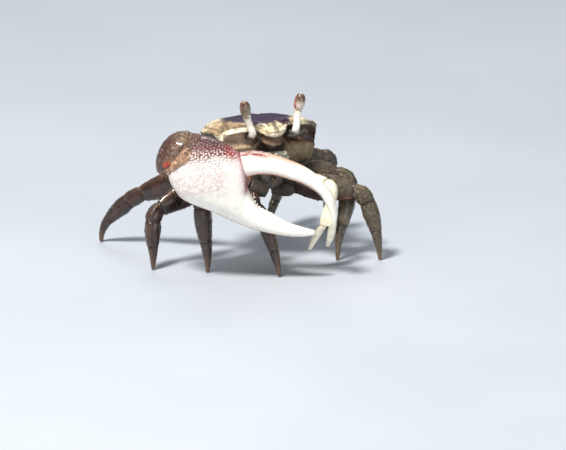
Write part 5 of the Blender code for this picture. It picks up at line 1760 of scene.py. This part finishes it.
def make_small_claw():
    material = shell_material("small_claw_paint", gloss=(0.26, 0.46), coat=0.35, mottle=(0.88, 1.08),
                              mottle_size=0.8, bumps=((0.5, 0.04), (0.14, 0.012)))
    bristle = bristle_material("claw_bristle_paint")
    arm = skin("small_arm_shell", arm_rings(*SMALL_ARM, SMALL_ARM_HALVES), material, along=7, around=4,
               relief=grainy(0.05, 0.8, 3.0))
    stand_in(paint(arm, lambda p, s, t, n: blend(arm_colour(p, 0.5, t, n), small_colour(p, s, t, n),
                                                 ramp(s, 0.45, 0.95))), "leg", "small_claw_arm")
    wrist_shape, palm_shape, fixed_shape, moving_shape = small_claw_rings()
    wrist = skin("small_wrist_shell", wrist_shape, material, along=6, around=4, crown=0.15,
                 relief=grainy(0.05, 0.7, 6.0))
    stand_in(paint(wrist, small_colour), "small_claw", "small_claw_wrist")
    hand = skin("small_hand", palm_shape, material, along=7, around=4, crown=0.12, relief=grainy(0.04, 0.7, 6.0))
    fixed = skin("small_fixed_finger", fixed_shape, material, along=6, around=3)
    moving = skin("small_finger_shell", moving_shape, material, along=6, around=3)
    # The fingers are painted paler than the hand: partly their own paler cream, partly painted light against the great
    # claw's shadow.
    for part in (hand, fixed, moving):
        pale = 0.0 if part is hand else 0.5
        paint(part, lambda p, s, t, n, pale=pale: blend(small_colour(p, s, t, n), tone(252, 246, 228), pale))
    draw = random.Random(31)
    roots = []
    for rings, other, place in ((fixed_shape[1:], moving_shape, 0.0), (moving_shape, fixed_shape[1:], 0.5)):
        for k, (ring, ahead, across) in enumerate(zip(rings, rings[1:], other)):
            middle, gape, onward = [middle_of(points) for points in (ring, across, ahead)]
            gape, onward = (gape - middle).normalized(), (onward - middle).normalized()
            side, half = gape.cross(onward).normalized(), (ring[0] - middle).length
            for _ in range(CLAW_BRISTLES):
                way = onward * 0.9 + gape * draw.uniform(0.1, 0.7) + side * draw.uniform(-0.6, 0.6)
                spread = draw.uniform(-1, 1)
                roots.append((middle + (side * spread + gape * 0.6) * half * 0.7, way.normalized(),
                              draw.uniform(0.3, 0.5), Vector((0, 0, -0.04)), (place + 0.06 * k, 0.5 + 0.4 * spread)))
    fringe = hairs("small_claw_bristles", roots, bristle)
    stand_in(paint(fringe, plain(blend(TAN, CREAM, 0.4))), "small_claw")
    way = (middle_of(moving_shape[1]) - middle_of(moving_shape[0])).normalized()
    rings = scaled_rings(moving_shape[0], way, ((0.7, -0.8), (0.93, -0.45), (0.95, 0.0), (0.75, 0.4)))
    sleeve = skin("small_claw_joint", rings, material, along=3, around=2)
    stand_in(paint(sleeve, plain(tone(236, 216, 178))), "small_claw")
    stand_in(join_pieces("small_hand_shell", [hand, fixed], material), "small_claw", "small_claw_palm")
    stand_in(moving, "small_claw", "small_claw_finger")


# Stage

PHOTO_WIDTH = 566               # pixels
MM_PER_PIXEL = 0.175
SENSOR_WIDTH = 36.0
FLOOR_RADIUS = 4.0              # metres
VIEW_TURN, VIEW_RISE = -30.0, 15.5      # degrees to the crab's right, and above level
VIEW_DISTANCE = 1500.0
VIEW_LEVEL = 3.5                # height of the point on the body's axis that the frame is placed by
FRAME_OFFSET = (10.7, 16.6)     # pixels from that point to the frame's middle
LIGHT_MIDDLE = Vector((0.0, 0.0, 0.014))        # metres


def view_axes(turn, rise):
    a, e = math.radians(turn), math.radians(rise)
    back = Vector((math.sin(a) * math.cos(e), -math.cos(a) * math.cos(e), math.sin(e)))
    right = Vector((math.cos(a), math.sin(a), 0.0))
    return right, back.cross(right), back


def aimed(name, data, spot, back):
    """An object of the stage at a spot, with its back turned that way."""
    thing = bpy.data.objects.new(name, data)
    bpy.context.scene.collection.objects.link(thing)
    thing.location = spot
    thing.rotation_euler = back.to_track_quat("Z", "Y").to_euler()
    return thing


def make_camera():
    right, up, back = view_axes(VIEW_TURN, VIEW_RISE)
    target = Vector((0, 0, VIEW_LEVEL)) + SHIFT + right * FRAME_OFFSET[0] * MM_PER_PIXEL \
        + up * FRAME_OFFSET[1] * MM_PER_PIXEL
    camera = aimed("camera", bpy.data.cameras.new("camera"), (target + back * VIEW_DISTANCE) * MM, back)
    camera.data.sensor_fit = "HORIZONTAL"
    camera.data.sensor_width = SENSOR_WIDTH
    camera.data.lens = SENSOR_WIDTH * VIEW_DISTANCE / (PHOTO_WIDTH * MM_PER_PIXEL)
    camera.data.clip_start = 0.05
    camera.data.clip_end = 20.0
    bpy.context.scene.camera = camera


def area_light(name, turn, rise, distance, size, watts, colour):
    _, _, back = view_axes(turn, rise)
    lamp = bpy.data.lights.new(name, "AREA")
    lamp.shape = "DISK"
    lamp.size = size
    lamp.energy = watts
    lamp.color = colour
    aimed(name, lamp, LIGHT_MIDDLE + back * distance, back)


def make_stage():
    bpy.ops.mesh.primitive_circle_add(vertices=96, radius=FLOOR_RADIUS, fill_type="NGON", location=(0, 0, -0.0002))
    floor = bpy.context.object
    floor.name = "floor"
    n = Nodes("floor_paint")
    tint = n.ramp(n.noise(60.0, 2.0), 0.3, 0.7, 0.0, 1.0)
    n.link(n.mix(tint, tone(168, 176, 186), tone(174, 181, 190)), n.shader.inputs["Base Color"])
    n.shader.inputs["Roughness"].default_value = 0.75
    floor.data.materials.append(n.material)
    world = bpy.data.worlds.new("studio")
    world.use_nodes = True
    set_values(world.node_tree.nodes["Background"], {"Color": (0.86, 0.9, 0.96, 1.0), "Strength": 0.3})
    bpy.context.scene.world = world
    bpy.context.scene.view_settings.view_transform = "Standard"
    area_light("key", -66.0, 60.0, 0.55, 0.12, 5.0, (1.0, 0.96, 0.9))
    area_light("fill", 0.0, 14.0, 0.75, 0.5, 1.3, (0.95, 0.97, 1.0))
    area_light("rear", 150.0, 45.0, 0.7, 0.4, 1.4, (1.0, 0.98, 0.95))


def build():
    soft_skin = shell_material("joint_skin_paint", gloss=(0.3, 0.5), coat=0.3, mottle=(0.85, 1.1),
                               mottle_size=0.5, bumps=((0.3, 0.02),))
    make_shell()
    make_underside()
    make_eyes()
    make_legs(soft_skin)
    make_great_claw(soft_skin)
    make_small_claw()
    make_stage()
    make_camera()


build()
